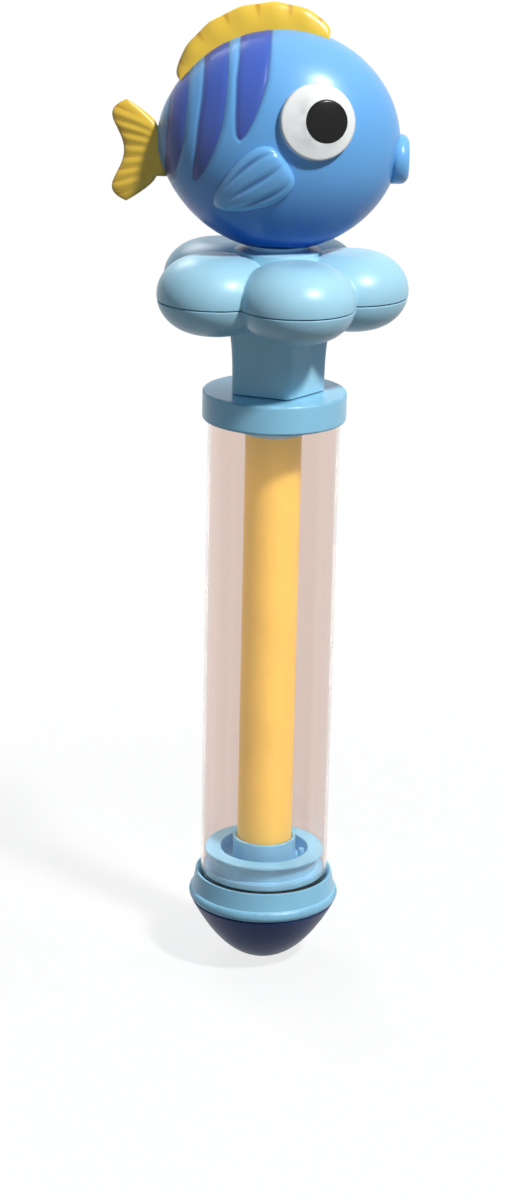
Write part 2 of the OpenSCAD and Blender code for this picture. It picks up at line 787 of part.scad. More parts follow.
// Place on the mid-plane of a share u of the side fin's length and v from -1 to 1 across it
function fin_place(u, v) =
    let (wide = side_fin_w / 2 * pow(sin(180 * pow(u, fin_round_share)), fin_round_share))
    let (ahead = [cos(fin_heading_angle), sin(fin_heading_angle)], beside = [-ahead[1], ahead[0]])
    fin_root + u * side_fin_len * ahead + v * wide * beside;

// Point of the right side fin, lift 0 on its underside and 1 on its crown
function fin_point(u, v, lift) =
    let (p = fin_place(u, v))
    let (crown = 1 - (1 - fin_edge_share) * max(v * v, pow(2 * u - 1, 4)))
    let (groove = 1 - fin_groove_share * pow(cos(90 * fin_grooves * v), 2) * u)
    [p[0], -flank(p[0], p[1]) - fin_gap - lift * side_fin_t * crown * groove, p[1]];

function fin_grid(lift) =
    let (along = fin_steps[0], across = fin_steps[1], margin = 1 / (2 * along))
    [for (i = [0 : along]) let (u = margin + (1 - 2 * margin) * i / along)
        [for (j = [0 : across]) fin_point(u, 2 * j / across - 1, lift)]];

// Peg of the side fin, grown by grow
module side_fin_peg(grow) {
    p = fin_place(fin_peg_share, 0);
    translate([p[0], -flank(p[0], p[1]) + fin_peg_len, p[1]]) rotate([90, 0, 0])
        cylinder(h = fin_peg_len + fin_gap + side_fin_t / 2, r = fin_peg_r + grow);
}

module side_fin() {
    slab(fin_grid(1), fin_grid(0));
    side_fin_peg(0);
}

module side_fin_right() {
    color("lightskyblue") translate([0, 0, fish_z]) side_fin();
}

module side_fin_left() {
    color("lightskyblue") translate([0, 0, fish_z]) mirror([0, 1, 0]) side_fin();
}

eye_r = eye_d / 2;
eye_ball_r = (eye_r * eye_r + eye_dome * eye_dome) / (2 * eye_dome);
pupil_floor = eye_edge + eye_dome / 2 - pupil_depth;

// Domed disc under the eye's sphere, grown by rise
module dome(r, z_low, rise) {
    intersection() {
        translate([0, 0, eye_edge + eye_dome - eye_ball_r]) sphere(eye_ball_r + rise);
        translate([0, 0, z_low]) cylinder(h = eye_d, r = r);
    }
}

module pupil_place() {
    on_eye() translate([0, pupil_shift_share * eye_d, 0]) children();
}

module eye() {
    difference() {
        on_eye() dome(eye_r, -eye_depth, 0);
        pupil_place() translate([0, 0, pupil_floor])
            cylinder(h = eye_d, r = pupil_d / 2 + glue_gap);
    }
}

module pupil() {
    intersection() {
        on_eye() dome(eye_r, -eye_depth, pupil_rise);
        pupil_place() translate([0, 0, pupil_floor]) cylinder(h = eye_d, d = pupil_d);
    }
}

module eye_right() {
    color("white") translate([0, 0, fish_z]) eye();
}

module eye_left() {
    color("white") translate([0, 0, fish_z]) mirror([0, 1, 0]) eye();
}

module pupil_right() {
    color("dimgray") translate([0, 0, fish_z]) pupil();
}

module pupil_left() {
    color("dimgray") translate([0, 0, fish_z]) mirror([0, 1, 0]) pupil();
}

module mouth_ring() {
    lip = mouth_lip / 2;
    ring = mouth_d / 2;
    color("cornflowerblue") translate([0, 0, fish_z]) on_mouth() {
        rotate_extrude() {
            section(0, ring, 0, mouth_hole_share * mouth_lip);
            section(0, ring + lip, 0, lip);
            translate([ring, lip]) circle(lip);
        }
        translate([0, 0, -mouth_peg_len]) cylinder(h = mouth_peg_len, r = mouth_peg_r);
    }
}

barrel_tube();
top_cap();
nozzle_collar();
nozzle_cone();
nozzle_gasket();
piston();
piston_seal();
plunger_rod();
rod_end_plug();
handle_screw();
petal_lower_shell();
petal_upper_shell();
fish_post();
post_screw();
fish_shell_right();
fish_shell_left();
shell_screws();
dorsal_fin();
tail_fin();
side_fin_right();
side_fin_left();
eye_right();
eye_left();
pupil_right();
pupil_left();
mouth_ring();
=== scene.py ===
import json
import math
from collections import namedtuple

import bmesh
import bpy
import numpy as np
from mathutils import Matrix, Vector


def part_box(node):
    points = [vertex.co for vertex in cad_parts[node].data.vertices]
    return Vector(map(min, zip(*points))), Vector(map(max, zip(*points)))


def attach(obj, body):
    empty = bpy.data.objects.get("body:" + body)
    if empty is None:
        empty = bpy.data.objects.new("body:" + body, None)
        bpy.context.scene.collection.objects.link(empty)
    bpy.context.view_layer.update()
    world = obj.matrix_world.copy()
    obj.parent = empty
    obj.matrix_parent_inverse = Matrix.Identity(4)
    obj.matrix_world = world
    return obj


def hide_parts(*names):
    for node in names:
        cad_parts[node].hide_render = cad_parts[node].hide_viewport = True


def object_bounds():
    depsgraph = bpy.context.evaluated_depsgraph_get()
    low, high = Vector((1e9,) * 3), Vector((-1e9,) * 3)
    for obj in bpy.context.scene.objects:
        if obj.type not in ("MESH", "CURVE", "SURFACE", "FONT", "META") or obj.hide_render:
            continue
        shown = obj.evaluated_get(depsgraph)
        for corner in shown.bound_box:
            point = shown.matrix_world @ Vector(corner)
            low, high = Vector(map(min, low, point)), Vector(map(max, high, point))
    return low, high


bl_info = {
    "name": "Pump water squirter",
    "version": (1, 0, 0),
    "blender": (4, 5, 0),
    "location": "3D View > Sidebar > Squirter",
    "description": "Finished pieces of a pump water squirter with a petalled grip and a toy fish",
    "category": "Add Mesh",
}

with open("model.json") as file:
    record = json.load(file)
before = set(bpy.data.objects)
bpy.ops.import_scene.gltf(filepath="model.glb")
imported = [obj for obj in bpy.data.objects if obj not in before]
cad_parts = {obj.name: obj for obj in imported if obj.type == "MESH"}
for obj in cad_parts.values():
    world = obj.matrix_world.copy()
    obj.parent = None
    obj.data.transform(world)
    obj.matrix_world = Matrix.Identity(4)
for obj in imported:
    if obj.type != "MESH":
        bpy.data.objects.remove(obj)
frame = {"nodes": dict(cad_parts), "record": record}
record = frame["record"]
CAD_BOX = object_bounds()
NODE_BODY = {node: body for body, nodes in record["behaviour"]["bodies"].items() for node in nodes}

MM = 0.001
# A whole turn and a quarter turn
TAU = 2 * math.pi
QUARTER = math.pi / 2
MIRROR_Y = np.array([1.0, -1.0, 1.0])
# Points round a turned piece, and in each rounded corner of a section
TURN_SIDES = 192
CORNER_STEPS = 7
# Flat stretch kept beside a rounded corner: a share of its radius, at most one of the parts of the free side
HOLD_SHARE = 0.4
SIDE_PARTS = 3
# Points closer than this are one point
WELD = 1e-6


def linear(code):
    """Linear red, green and blue of a web colour such as 7ab8e8, by the sRGB curve."""
    shares = np.array([int(code[i:i + 2], 16) for i in (0, 2, 4)]) / 255
    return tuple(np.where(shares <= 0.04045, shares / 12.92, ((shares + 0.055) / 1.055) ** 2.4))


def number(name, value, description, **kind):
    """A setting that is one number."""
    return bpy.props.FloatProperty(name=name, description=description, default=value, **kind)


def length(name, mm, description):
    """A length setting with its default in millimetres."""
    return number(name, mm * MM, description, unit="LENGTH", precision=5)


def share(name, value, description):
    """A setting that is a share of something else."""
    return number(name, value, description, subtype="FACTOR")


def angle(name, degrees, description):
    """An angle setting with its default in degrees."""
    return number(name, math.radians(degrees), description, subtype="ANGLE")


def vector(name, values, description, **kind):
    """A setting of three numbers."""
    return bpy.props.FloatVectorProperty(name=name, description=description, default=values, **kind)


def colour(name, code, description):
    """A colour setting with its default as a web code."""
    return vector(name, linear(code), description, subtype="COLOR", min=0.0, max=1.0)


class SquirterBarrel(bpy.types.PropertyGroup):
    """Sizes of the tube, the cap, the nozzle, the piston and the rod."""

    fit_gap: length("Fit gap", 0.1, "Gap of glued and plugged seats, all round")
    edge: length("Edge", 0.3, "Rounding of small moulded edges")
    tube_wall: length("Tube wall", 0.9, "Wall of the clear tube")
    tube_edge: length("Tube edge", 0.25, "Rounding of the tube's ends")
    cap_skirt: length("Cap skirt", 6.4, "Length of the cap's skirt down the tube")
    cap_round: length("Cap rounding", 0.8, "Rounding of the cap's outer edges")
    guide_gap: length("Guide gap", 0.25, "Gap of the rod in its guide")
    guide_wall: length("Guide wall", 1.6, "Wall of the boss that guides the rod")
    ledge: length("Ledge", 2.4, "Thickness of the ledge that carries the tube")
    ledge_reach: length("Ledge reach", 1.5, "Reach of the ledge inside the tube")
    lip_height: length("Lip height", 3.7, "Height of the collar's lip")
    lip_round: length("Lip rounding", 1.7, "Rounding of the bead that the lip forms")
    lip_end: angle("Lip end", 60.0, "Angle at which the bead's arc ends under the band")
    band_inset: length("Band inset", 1.0, "Inset of the band's foot from the lip's edge")
    rim_wall: length("Rim wall", 1.4, "Wall of the collar's band at its rim")
    rim_chamfer: length("Rim chamfer", 0.91, "Chamfer inside the collar's rim")
    crease: length("Crease", 0.15, "Rounding of the crease between bead and band")
    cone_power: number("Cone power", 2.2, "Power of the cone's rise over its radius, which bulges its side")
    tip_flat: length("Tip flat", 6.0, "Diameter of the flat land round the outlet")
    outlet: length("Outlet", 3.0, "Diameter of the outlet")
    outlet_length: length("Outlet length", 5.0, "Length of the outlet's straight bore")
    spigot_wall: length("Spigot wall", 2.0, "Wall of the spigot that plugs the cone into the collar")
    piston_edge: length("Piston edge", 0.2, "Rounding of the piston's small edges")
    piston_rim: length("Piston rim", 0.42, "Rounding of the rims of the piston's flange and hub")
    foot_chamfer: length("Foot chamfer", 1.0, "Chamfer of the piston's foot")
    land: length("Land", 1.9, "Thickness of the land above the seal")
    flange: length("Flange", 0.9, "Thickness of the piston's top flange")
    waist: length("Waist", 2.0, "Depth of the piston's waist inside its flange")
    recess: length("Recess", 27.4, "Diameter of the recess round the hub")
    recess_depth: length("Recess depth", 4.6, "Depth of the recess")
    hub_wall: length("Hub wall", 1.2, "Wall of the hub that holds the rod")
    hub_rise: length("Hub rise", 3.8, "Rise of the hub above the flange")
    nub: length("Nub", 2.0, "Diameter of the moulding nub beside the hub")
    nub_share: share("Nub height", 0.85, "Height of the moulding nub, as a share of the recess's depth")
    rod_wall: length("Rod wall", 1.5, "Wall of the hollow rod")


class SquirterGrip(bpy.types.PropertyGroup):
    """Sizes of the five-petalled grip."""

    ring: length("Ring", 43.5, "Diameter of the circle that the petals' middles lie on")
    petal: length("Petal", 34.8, "Width of one petal")
    petal_flat: length("Petal flat", 9.0, "Diameter of the flat that a petal is rounded off from")
    petal_height: length("Petal height", 23.0, "Height of one petal")
    petal_wall: length("Petal wall", 2.0, "Wall of the petals")
    petal_turn: angle("Petal turn", -2.5, "Turn of the first petal away from the fish's nose")
    seam_drop: length("Seam drop", 1.6, "Drop of the parting seam below the petals' middle")
    seam_gap: length("Seam gap", 0.42, "Height of the groove at the parting seam")
    seam_depth: length("Seam depth", 1.0, "Depth of the groove at the parting seam")
    edge: length("Edge", 0.2, "Rounding of the seam's edges and of the neck's foot")
    neck_wall: length("Neck wall", 3.8, "Wall of the five-sided neck at its flats")
    neck_round: length("Neck rounding", 2.5, "Rounding of the neck's corners")
    neck_flare: length("Neck flare", 1.1, "Outward flare of the neck where it meets the petals")
    neck_blend: length("Neck blend", 1.2, "Length of the blend between neck and petals")
    deck: length("Deck", 3.0, "Thickness of the deck above the rod")
    screw_hole: length("Screw hole", 3.4, "Diameter of the screw's hole in the deck")
    core_bore: length("Core bore", 17.0, "Bore of the core that joins the petals")
    core_wall: length("Core wall", 2.5, "Wall of the core")
    seat: length("Seat", 18.0, "Diameter of the boss that the fish sits on")
    seat_plate: length("Seat plate", 5.0, "Thickness of the plate under the fish")
    seat_foot: length("Seat foot", 25.6, "Diameter of the seat's wide foot between the petals")
    seat_foot_drop: length("Seat foot drop", 1.6, "Drop of the foot's edge below the seat")
    seat_neck_drop: length("Seat neck drop", 1.02, "Drop of the seat's widening below its top")
    seat_blend: length("Seat blend", 0.3, "Length of the blend between petals and seat")
    post_hole: length("Post hole", 8.2, "Diameter of the hole for the fish's post")


class SquirterFish(bpy.types.PropertyGroup):
    """Sizes of the toy fish."""

    body_length: length("Body length", 69.0, "Length of the plain oval body")
    body_height: length("Body height", 65.0, "Height of the body")
    body_width: length("Body width", 48.0, "Thickness of the body")
    seat_sink: length("Seat sink", 1.7, "Depth that the belly sinks round its seat")
    seam: length("Seam", 0.22, "Rounding of the two shells' edges at the mid-plane")
    nose_share: share("Nose", 0.02, "How far the nose stands out of the oval")
    stalk_share: share("Stalk", 0.05, "How far the tail stalk stands out of the oval")
    mouth_angle: angle("Mouth angle", -8.0, "Fall of the mouth below the nose-to-tail line")
    groove: length("Groove", 0.35, "Depth of the moulded groove round the bands")
    groove_width: length("Groove width", 0.75, "Half width of the moulded groove round the bands")
    screw_recess: length("Screw recess", 6.2, "Diameter of the recesses of the shell screws")
    screw_land: length("Screw land", 3.0, "Distance of the recesses' floors from the mid-plane")
    dorsal_rise: length("Dorsal rise", 7.8, "Rise of the dorsal fin above the back")
    dorsal_thick: length("Dorsal thickness", 5.2, "Thickness of the dorsal fin at its root")
    dorsal_front: angle("Dorsal front", 66.0, "Where the dorsal fin starts round the back")
    dorsal_back: angle("Dorsal back", 150.0, "Where the dorsal fin ends round the back")
    tail_length: length("Tail length", 15.0, "Length of the tail fin behind the body")
    tail_height: length("Tail height", 30.0, "Height of the tail fin")
    tail_drop: length("Tail drop", 4.0, "Drop of the tail fin below the body's middle")
    tail_root: length("Tail root", 15.0, "Height of the tail fin's root")
    tail_thick: length("Tail thickness", 5.0, "Thickness of the tail fin at its root")
    fin_tab: length("Fin tab", 4.0, "Depth of the fins' tabs inside the shells")
    side_length: length("Side fin length", 25.0, "Length of a side fin")
    side_width: length("Side fin width", 17.0, "Width of a side fin")
    side_thick: length("Side fin thickness", 2.8, "Thickness of a side fin in its middle")
    side_heading: angle("Side fin heading", 215.0, "Direction of a side fin's length on the flank")
    side_gap: length("Side fin gap", 0.15, "Gap between a side fin and the flank")
    eye: length("Eye", 22.0, "Diameter of an eye")
    eye_depth: length("Eye depth", 2.4, "Depth of the eye's seat under the skin")
    eye_edge: length("Eye edge", 0.9, "Height of the eye's rim above the skin")
    eye_dome: length("Eye dome", 2.0, "Height of the eye's dome above its rim")
    eye_round: length("Eye rounding", 0.8, "Rounding of the eye's rim")
    pupil: length("Pupil", 12.4, "Diameter of a pupil")
    pupil_rise: length("Pupil rise", 0.35, "Rise of the pupil out of the eye")
    mouth: length("Mouth", 9.4, "Diameter of the round mouth, to the middle of its lip")
    mouth_lip: length("Mouth lip", 5.2, "Thickness of the mouth's lip")
    mouth_depth: length("Mouth depth", 2.2, "Depth of the mouth's seat under the nose")
    mouth_peg: length("Mouth peg", 3.4, "Radius of the peg behind the mouth")
    mouth_peg_length: length("Mouth peg length", 5.0, "Length of the peg behind the mouth")


class SquirterColours(bpy.types.PropertyGroup):
    """Colours of the finishes."""

    # The pinkish tint is painted backdrop colour: it stands for a pink backdrop seen through the tube, not
    # the plastic's own tint
    clear: colour("Clear tube", "eee1db", "Tint of the clear tube at each face that light passes")
    sky: colour("Sky plastic", "94d2ee", "Cap and collar")
    piston: colour("Piston plastic", "82c4e8", "Piston")
    petal: colour("Petal plastic", "a6d7ea", "Petals and neck")
    # Painted shade: the cone's navy stands for shade on its downward face, not the colour of its plastic
    cone_shade_navy: colour("Painted cone shade", "26437a", "Nozzle cone")
    yellow: colour("Yellow plastic", "f2cf64", "Rod")
    fin_yellow: colour("Fin yellow", "f2c743", "Dorsal and tail fins")
    fish_back: colour("Fish back", "66a8e2", "Upper body of the fish")
    fish_belly: colour("Fish belly", "0552ac", "Belly of the fish")
    fish_band: colour("Fish bands", "3f5cb4", "Bands across the back of the fish")
    side_fin: colour("Side fins", "6fb2e8", "Side fins of the fish")
    eye: colour("Eye", "efefec", "Eyes")
    pupil: colour("Pupil", "161617", "Pupils")
    inner: colour("Inner plastic", "dcdbd6", "Plug and post inside the grip")
    rubber: colour("Rubber", "161617", "Seal and gasket")
    steel: colour("Steel", "b4b5b8", "Screws")


class SquirterStage(bpy.types.PropertyGroup):
    """The studio: camera, lamps and floor."""

    camera: vector("Camera", (-0.0035, -0.8613, 0.3974), "Place of the camera", subtype="TRANSLATION")
    pitch: angle("Pitch", 17.97, "Angle that the camera looks down")
    yaw: angle("Yaw", -0.07, "Angle that the camera looks to the right")
    roll: angle("Roll", 1.26, "Turn of the camera about its line of sight")
    lens: number("Lens", 88.08, "Focal length of the camera", unit="CAMERA")
    key: number("Key lamp", 14.4, "Power of the key lamp", unit="POWER")
    fill: number("Fill lamp", 0.6, "Power of the fill lamp", unit="POWER")
    back: number("Back lamp", 5.0, "Power of the back lamp", unit="POWER")
    ambient: share("Ambient", 0.16, "Strength of the soft light from all round")
    ambient_tint: colour("Ambient tint", "b0dcfa", "Colour of the soft light from all round")
    floor_gap: length("Floor gap", 0.2, "Gap between the nozzle's tip and the floor")
    floor_reach: length("Floor reach", 6000.0, "Half width of the floor")


# A grid of points, the wear-and-shading value at each (rubbing with painted highlight on edges, dust with
# painted shade in hollows), and whether its rows and its columns run back to their start
Patch = namedtuple("Patch", "points wear wrap_rows wrap_cols", defaults=(0.0, False, True))


def reach(node):
    """Radius about Z, lowest height and highest height of a node that stands on the Z axis."""
    low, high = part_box(node)
    return (high.x - low.x) / 2, low.z, high.z


def unit(vectors):
    """Vectors of length 1 along the given ones."""
    return vectors / np.linalg.norm(vectors, axis=-1, keepdims=True)


def heading(turn):
    """Point of the unit circle at an angle."""
    return np.array([math.cos(turn), math.sin(turn)])


def full_turn(count):
    """Even angles round a full turn. The last is one step short of the first."""
    return np.arange(count) / count * TAU


def rounded(corners, radii, closed=True):
    """Section outline with rounded corners: points and their wear-and-shading values.

    Each corner becomes an arc that touches both its sides, with one more point on each side that keeps the
    side flat. Wear-and-shading swells to 1 in the middle of an outer corner, which pales the edge for rubbing
    and a painted highlight, and to -1 in an inner one, which darkens the hollow for dust and painted shade.
    An open outline keeps its two end points as they are.
    """
    here = np.asarray(corners, float)
    radius = np.broadcast_to(np.asarray(radii, float), len(here))[:, None]
    to_next = np.roll(here, -1, axis=0) - here
    to_last = np.roll(here, 1, axis=0) - here
    ahead, behind = unit(to_next), unit(to_last)
    half = np.arccos(np.clip((ahead * behind).sum(axis=1, keepdims=True), -1, 1)) / 2
    touch = radius / np.tan(half)
    free = np.linalg.norm(to_next, axis=1, keepdims=True) - touch - np.roll(touch, -1, axis=0)
    hold_ahead = np.clip(np.minimum(HOLD_SHARE * radius, free / SIDE_PARTS), 0, None)
    hold_behind = np.clip(np.minimum(HOLD_SHARE * radius, np.roll(free, 1, axis=0) / SIDE_PARTS), 0, None)
    centre = here + unit(ahead + behind) * radius / np.sin(half)
    first, last = here + behind * touch - centre, here + ahead * touch - centre
    sweep = (math.pi - 2 * half)[:, :, None]
    step = np.linspace(0, 1, CORNER_STEPS)[None, :, None]
    arc = np.sin((1 - step) * sweep) * first[:, None] + np.sin(step * sweep) * last[:, None]
    arc = centre[:, None] + arc / np.sin(sweep)
    before = (here + behind * (touch + hold_behind))[:, None]
    after = (here + ahead * (touch + hold_ahead))[:, None]
    points = np.concatenate([before, arc, after], axis=1)
    turn = ahead[:, 1] * behind[:, 0] - ahead[:, 0] * behind[:, 1]
    area = np.sum(here[:, 0] * np.roll(here[:, 1], -1) - here[:, 1] * np.roll(here[:, 0], -1))
    swell = np.concatenate([[0], np.sin(math.pi * step[0, :, 0]), [0]])
    wear = np.outer(np.sign(turn * area), swell)
    if closed:
        return points.reshape(-1, 2), wear.ravel()
    inside = points[1:-1].reshape(-1, 2)
    return np.concatenate([here[:1], inside, here[-1:]]), np.concatenate([[0], wear[1:-1].ravel(), [0]])


def arc_corner(centre, radius, start, stop):
    """Corner where the tangents at the two ends of an arc meet, so that rounding it gives the arc."""
    first, last = heading(start), heading(stop)
    return np.asarray(centre) + radius * (first + last) / (1 + first @ last)


def lathe(outline, closed=True, sides=TURN_SIDES):
    """Turned surface: the section's (radius, height) points carried round Z through a full turn."""
    points, wear = outline
    return sweep_round(full_turn(sides), np.broadcast_to(points, (sides,) + points.shape), wear, closed)


def pipe(node, wall, edge):
    """Turned pipe with a node's reach: a wall inwards from its radius, with rounded ends."""
    radius, low, high = reach(node)
    bore = radius - wall
    return lathe(rounded([(radius, low), (radius, high), (bore, high), (bore, low)], edge))


def sweep_round(turn, sections, wear, closed=True):
    """Surface round Z whose section changes: at each angle, its own (radius, height) points."""
    radius, height = sections[..., 0], sections[..., 1]
    points = np.stack([np.cos(turn)[:, None] * radius, np.sin(turn)[:, None] * radius, height], axis=-1)
    return Patch(points, wear, True, closed)


def capped(points):
    """A grid with one more row at each end, drawn together to the end row's middle."""
    ends = [np.broadcast_to(points[i].mean(axis=0), (1,) + points.shape[1:]) for i in (0, -1)]
    return np.concatenate([ends[0], points, ends[1]])


def moved(patch, turn, shift):
    """The patch turned by a 3 by 3 matrix and then shifted."""
    return patch._replace(points=patch.points @ np.asarray(turn).T + np.asarray(shift))


def mirrored(patch):
    """The patch seen in a mirror on the mid-plane of the fish."""
    return patch._replace(points=patch.points * MIRROR_Y)


def quads(patch, first):
    """Faces between neighbouring points of a patch whose first point has the number first."""
    rows, cols = patch.points.shape[:2]
    row = np.arange(rows if patch.wrap_rows else rows - 1)[:, None]
    col = np.arange(cols if patch.wrap_cols else cols - 1)[None, :]
    next_row, next_col = (row + 1) % rows * cols, (col + 1) % cols
    this_row = row * cols
    corners = np.broadcast_arrays(this_row + col, next_row + col, next_row + next_col, this_row + next_col)
    return first + np.stack(corners, axis=-1).reshape(-1, 4)


def new_object(name, points, faces):
    """Mesh object at the origin from arrays of points and four-cornered faces."""
    mesh = bpy.data.meshes.new(name)
    mesh.vertices.add(len(points))
    mesh.vertices.foreach_set("co", points.astype(np.float32).ravel())
    mesh.loops.add(faces.size)
    mesh.loops.foreach_set("vertex_index", faces.astype(np.int32).ravel())
    mesh.polygons.add(len(faces))
    mesh.polygons.foreach_set("loop_start", np.arange(0, faces.size, 4, dtype=np.int32))
    mesh.update(calc_edges=True)
    made = bpy.data.objects.new(name, mesh)
    bpy.context.scene.collection.objects.link(made)
    return made


def closed_object(name, patches):
    """Closed mesh object of one or more patches: seams and poles welded, faces outwards, smooth."""
    points = np.concatenate([patch.points.reshape(-1, 3) for patch in patches])
    wear = np.concatenate([np.broadcast_to(p.wear, p.points.shape[:2]).ravel() for p in patches])
    counts = [patch.points.shape[0] * patch.points.shape[1] for patch in patches]
    firsts = np.cumsum([0] + counts[:-1])
    faces = np.concatenate([quads(patch, first) for patch, first in zip(patches, firsts)])
    made = new_object(name, points, faces)
    set_point_values(made.data, "wear", wear)
    work = bmesh.new()
    work.from_mesh(made.data)
    bmesh.ops.remove_doubles(work, verts=work.verts, dist=WELD)
    bmesh.ops.dissolve_degenerate(work, edges=work.edges, dist=WELD)
    bmesh.ops.recalc_face_normals(work, faces=work.faces)
    open_edges = sum(not edge.is_manifold for edge in work.edges)
    work.to_mesh(made.data)
    work.free()
    if open_edges:
        raise RuntimeError(f"{name} has {open_edges} open edges")
    made.data.shade_smooth()
    return made


def set_point_values(mesh, name, values):
    """Stores one number at each point of a mesh, for its material to read."""
    if name not in mesh.attributes:
        mesh.attributes.new(name, "FLOAT", "POINT")
    mesh.attributes[name].data.foreach_set("value", np.ascontiguousarray(values, np.float32))


def point_places(mesh):
    """The places of a mesh's points as an array."""
    places = np.empty(len(mesh.vertices) * 3, np.float32)
    mesh.vertices.foreach_get("co", places)
    return places.reshape(-1, 3).astype(float)


def dress(node, patches, material):
    """Makes the finished piece of a node: it is shown in the node's place and moves with its body."""
    piece = closed_object(node + "_finish", patches)
    piece.data.materials.append(material)
    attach(piece, NODE_BODY[node])
    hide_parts(node)
    return piece


class Sock:
    """An output socket in a node tree. Arithmetic on it adds Math nodes."""

    def __init__(self, tree, socket):
        self.tree = tree
        self.socket = socket

    def add(self, kind, settings, links, out=0):
        """Adds a node of this kind, makes its settings, then fills its sockets with values or links."""
        node = self.tree.nodes.new(kind)
        for key, value in settings.items():
            setattr(node, key, value)
        for key, value in links.items():
            if isinstance(value, Sock):
                self.tree.links.new(value.socket, node.inputs[key])
            else:
                node.inputs[key].default_value = value
        return Sock(self.tree, node.outputs[out])

    def math(self, operation, first, second=0.0, clamp=False):
        """A Math node on two values, with its result held between 0 and 1 where clamp is set."""
        return self.add("ShaderNodeMath", {"operation": operation, "use_clamp": clamp}, {0: first, 1: second})

    def __add__(self, other):
        return self.math("ADD", self, other)

    __radd__ = __add__

    def __sub__(self, other):
        return self.math("SUBTRACT", self, other)

    def __rsub__(self, other):
        return self.math("SUBTRACT", other, self)

    def __mul__(self, other):
        return self.math("MULTIPLY", self, other)

    __rmul__ = __mul__

    def __abs__(self):
        return self.math("ABSOLUTE", self)

    def held(self):
        """The value held between 0 and 1."""
        return self.math("ADD", self, clamp=True)

    def smooth(self, low, high):
        """A soft step from 0 at low to 1 at high."""
        return self.add("ShaderNodeMapRange", {"interpolation_type": "SMOOTHSTEP"},
                        {"Value": self, "From Min": low, "From Max": high})

    def blend(self, first, second):
        """Colour that goes from first to second as this value goes from 0 to 1."""
        # A Mix node takes colours at its sockets 6 and 7 and gives one at its output 2
        return self.add("ShaderNodeMix", {"data_type": "RGBA"}, {0: self, 6: first, 7: second}, out=2)

    def noise(self, scale, detail=2.0):
        """Noise at this place, with features of about 1 / scale metres."""
        return self.add("ShaderNodeTexNoise", {}, {"Vector": self, "Scale": scale, "Detail": detail})

    def drawn_noise(self, across, along, detail=2.0):
        """Noise drawn out along Z, with features of about 1 / across by 1 / along metres."""
        scaled = self.add("ShaderNodeMapping", {}, {"Vector": self, "Scale": (across, across, along)})
        return scaled.noise(1.0, detail)

    def stored(self, name):
        """The number stored at each point under this name."""
        return self.add("ShaderNodeAttribute", {"attribute_name": name}, {}, out="Fac")

    def axis(self, letter):
        """One of this place's three coordinates."""
        return self.add("ShaderNodeSeparateXYZ", {}, {0: self}, out=letter)

    def bump(self, depth):
        """Normal of a surface raised by this value times depth, in metres."""
        return self.add("ShaderNodeBump", {}, {"Height": self, "Distance": depth, "Strength": 1.0})


# Features per metre of the noises that moulded finishes share: clouds and specks of pigment, patches, grain
CLOUDS = 38.0
SPECKS = 3000.0
PATCHES = 260.0
GRAIN = 1400.0
# Noise over which clouds go from dark to light
CLOUD_RANGE = (0.3, 0.7)
# Share of the specks in the clouds, and what it adds on average
SPECK_SHARE = 0.25
SPECK_MEAN = 0.12
# How far edges pale for rubbing and a painted highlight and the white that adds, how far corners darken for
# dust and painted shade, and orange peel in millimetres
RUB_AND_HIGHLIGHT = 0.45
RUB_AND_HIGHLIGHT_WHITE = 0.6
DUST_AND_SHADE = 0.5
PEEL = 0.012
# Swells of the orange peel: how many times wider and higher they are than its grain
SWELL_WIDTH = 6
SWELL_HEIGHT = 1.5
# Shares of the wear-and-shading values and of patches in the pale edges, and values over which the pale edges
# (rubbing and painted highlight) and the dark corners (dust and painted shade) set in
WEAR_AND_SHADING_SHARE = 0.9
PATCH_SHARE = 0.7
RUB_AND_HIGHLIGHT_RANGE = (0.75, 1.35)
DUST_AND_SHADE_RANGE = (0.25, 0.7)
# Roughness that patches take and give, and that rubbing and dust add
PATCH_ROUGH = 0.1
RUB_ROUGH = 0.12
DUST_ROUGH = 0.25
# Features per metre in the tube: drawing lines and streaks, each across and along, and smudges
LINES = (900.0, 14.0)
STREAKS = (110.0, 1.5)
SMUDGES = 70.0
# Noise over which streaks and smudges set in
STREAK_RANGE = (0.35, 0.65)
SMUDGE_RANGE = (0.45, 0.8)
# Depth of the tube's drawing lines in millimetres, and share of the soft light that passes it straight
LINE_DEPTH = 0.0005
SOFT_SHARE = 0.45
# Features per metre of the clouds in the fish's paint, and how far they shift the heights and edges below
PAINT_CLOUDS = 45.0
HEIGHT_SHIFT = 0.1
EDGE_SHIFT = 0.3
# Heights over which the fish's colours change, as shares of its half height
BELLY_TO_BACK = (-0.95, -0.15)
BACK_TO_CREST = (0.2, 1.0)
BAND_FADE = (-0.5, 0.9)
# Distances inside a band's edge over which its colour starts, in millimetres
BAND_EDGE = (-0.12, 0.2)
# How far outside that edge the middle of the painted shade line in the groove round a band lies, distances
# from there over which it ends, and its share
LINE_OUT = 0.1
BAND_LINE = (0.05, 0.55)
LINE_SHARE = 0.55
# Features per metre of the clouds in the fins, groove values over which painted shade darkens them, and how
# far
FIN_CLOUDS = 60.0
GROOVE_SHADE_RANGE = (0.35, 1.0)
GROOVE_SHADE_SHARE = 0.75
# Features per metre of the rubber's bloom and grain, and the grain's depth in millimetres
BLOOM = 220.0
RUBBER_GRAIN = 2600.0
RUBBER_DEPTH = 0.02
# Noise over which the bloom sets in, and how far it greys the rubber
BLOOM_RANGE = (0.5, 0.8)
BLOOM_SHARE = 0.35
# Features per metre of the steel's mottling and scratches, and the scratches' depth in millimetres
MOTTLES = 500.0
SCRATCHES = 1800.0
SCRATCH_DEPTH = 0.01


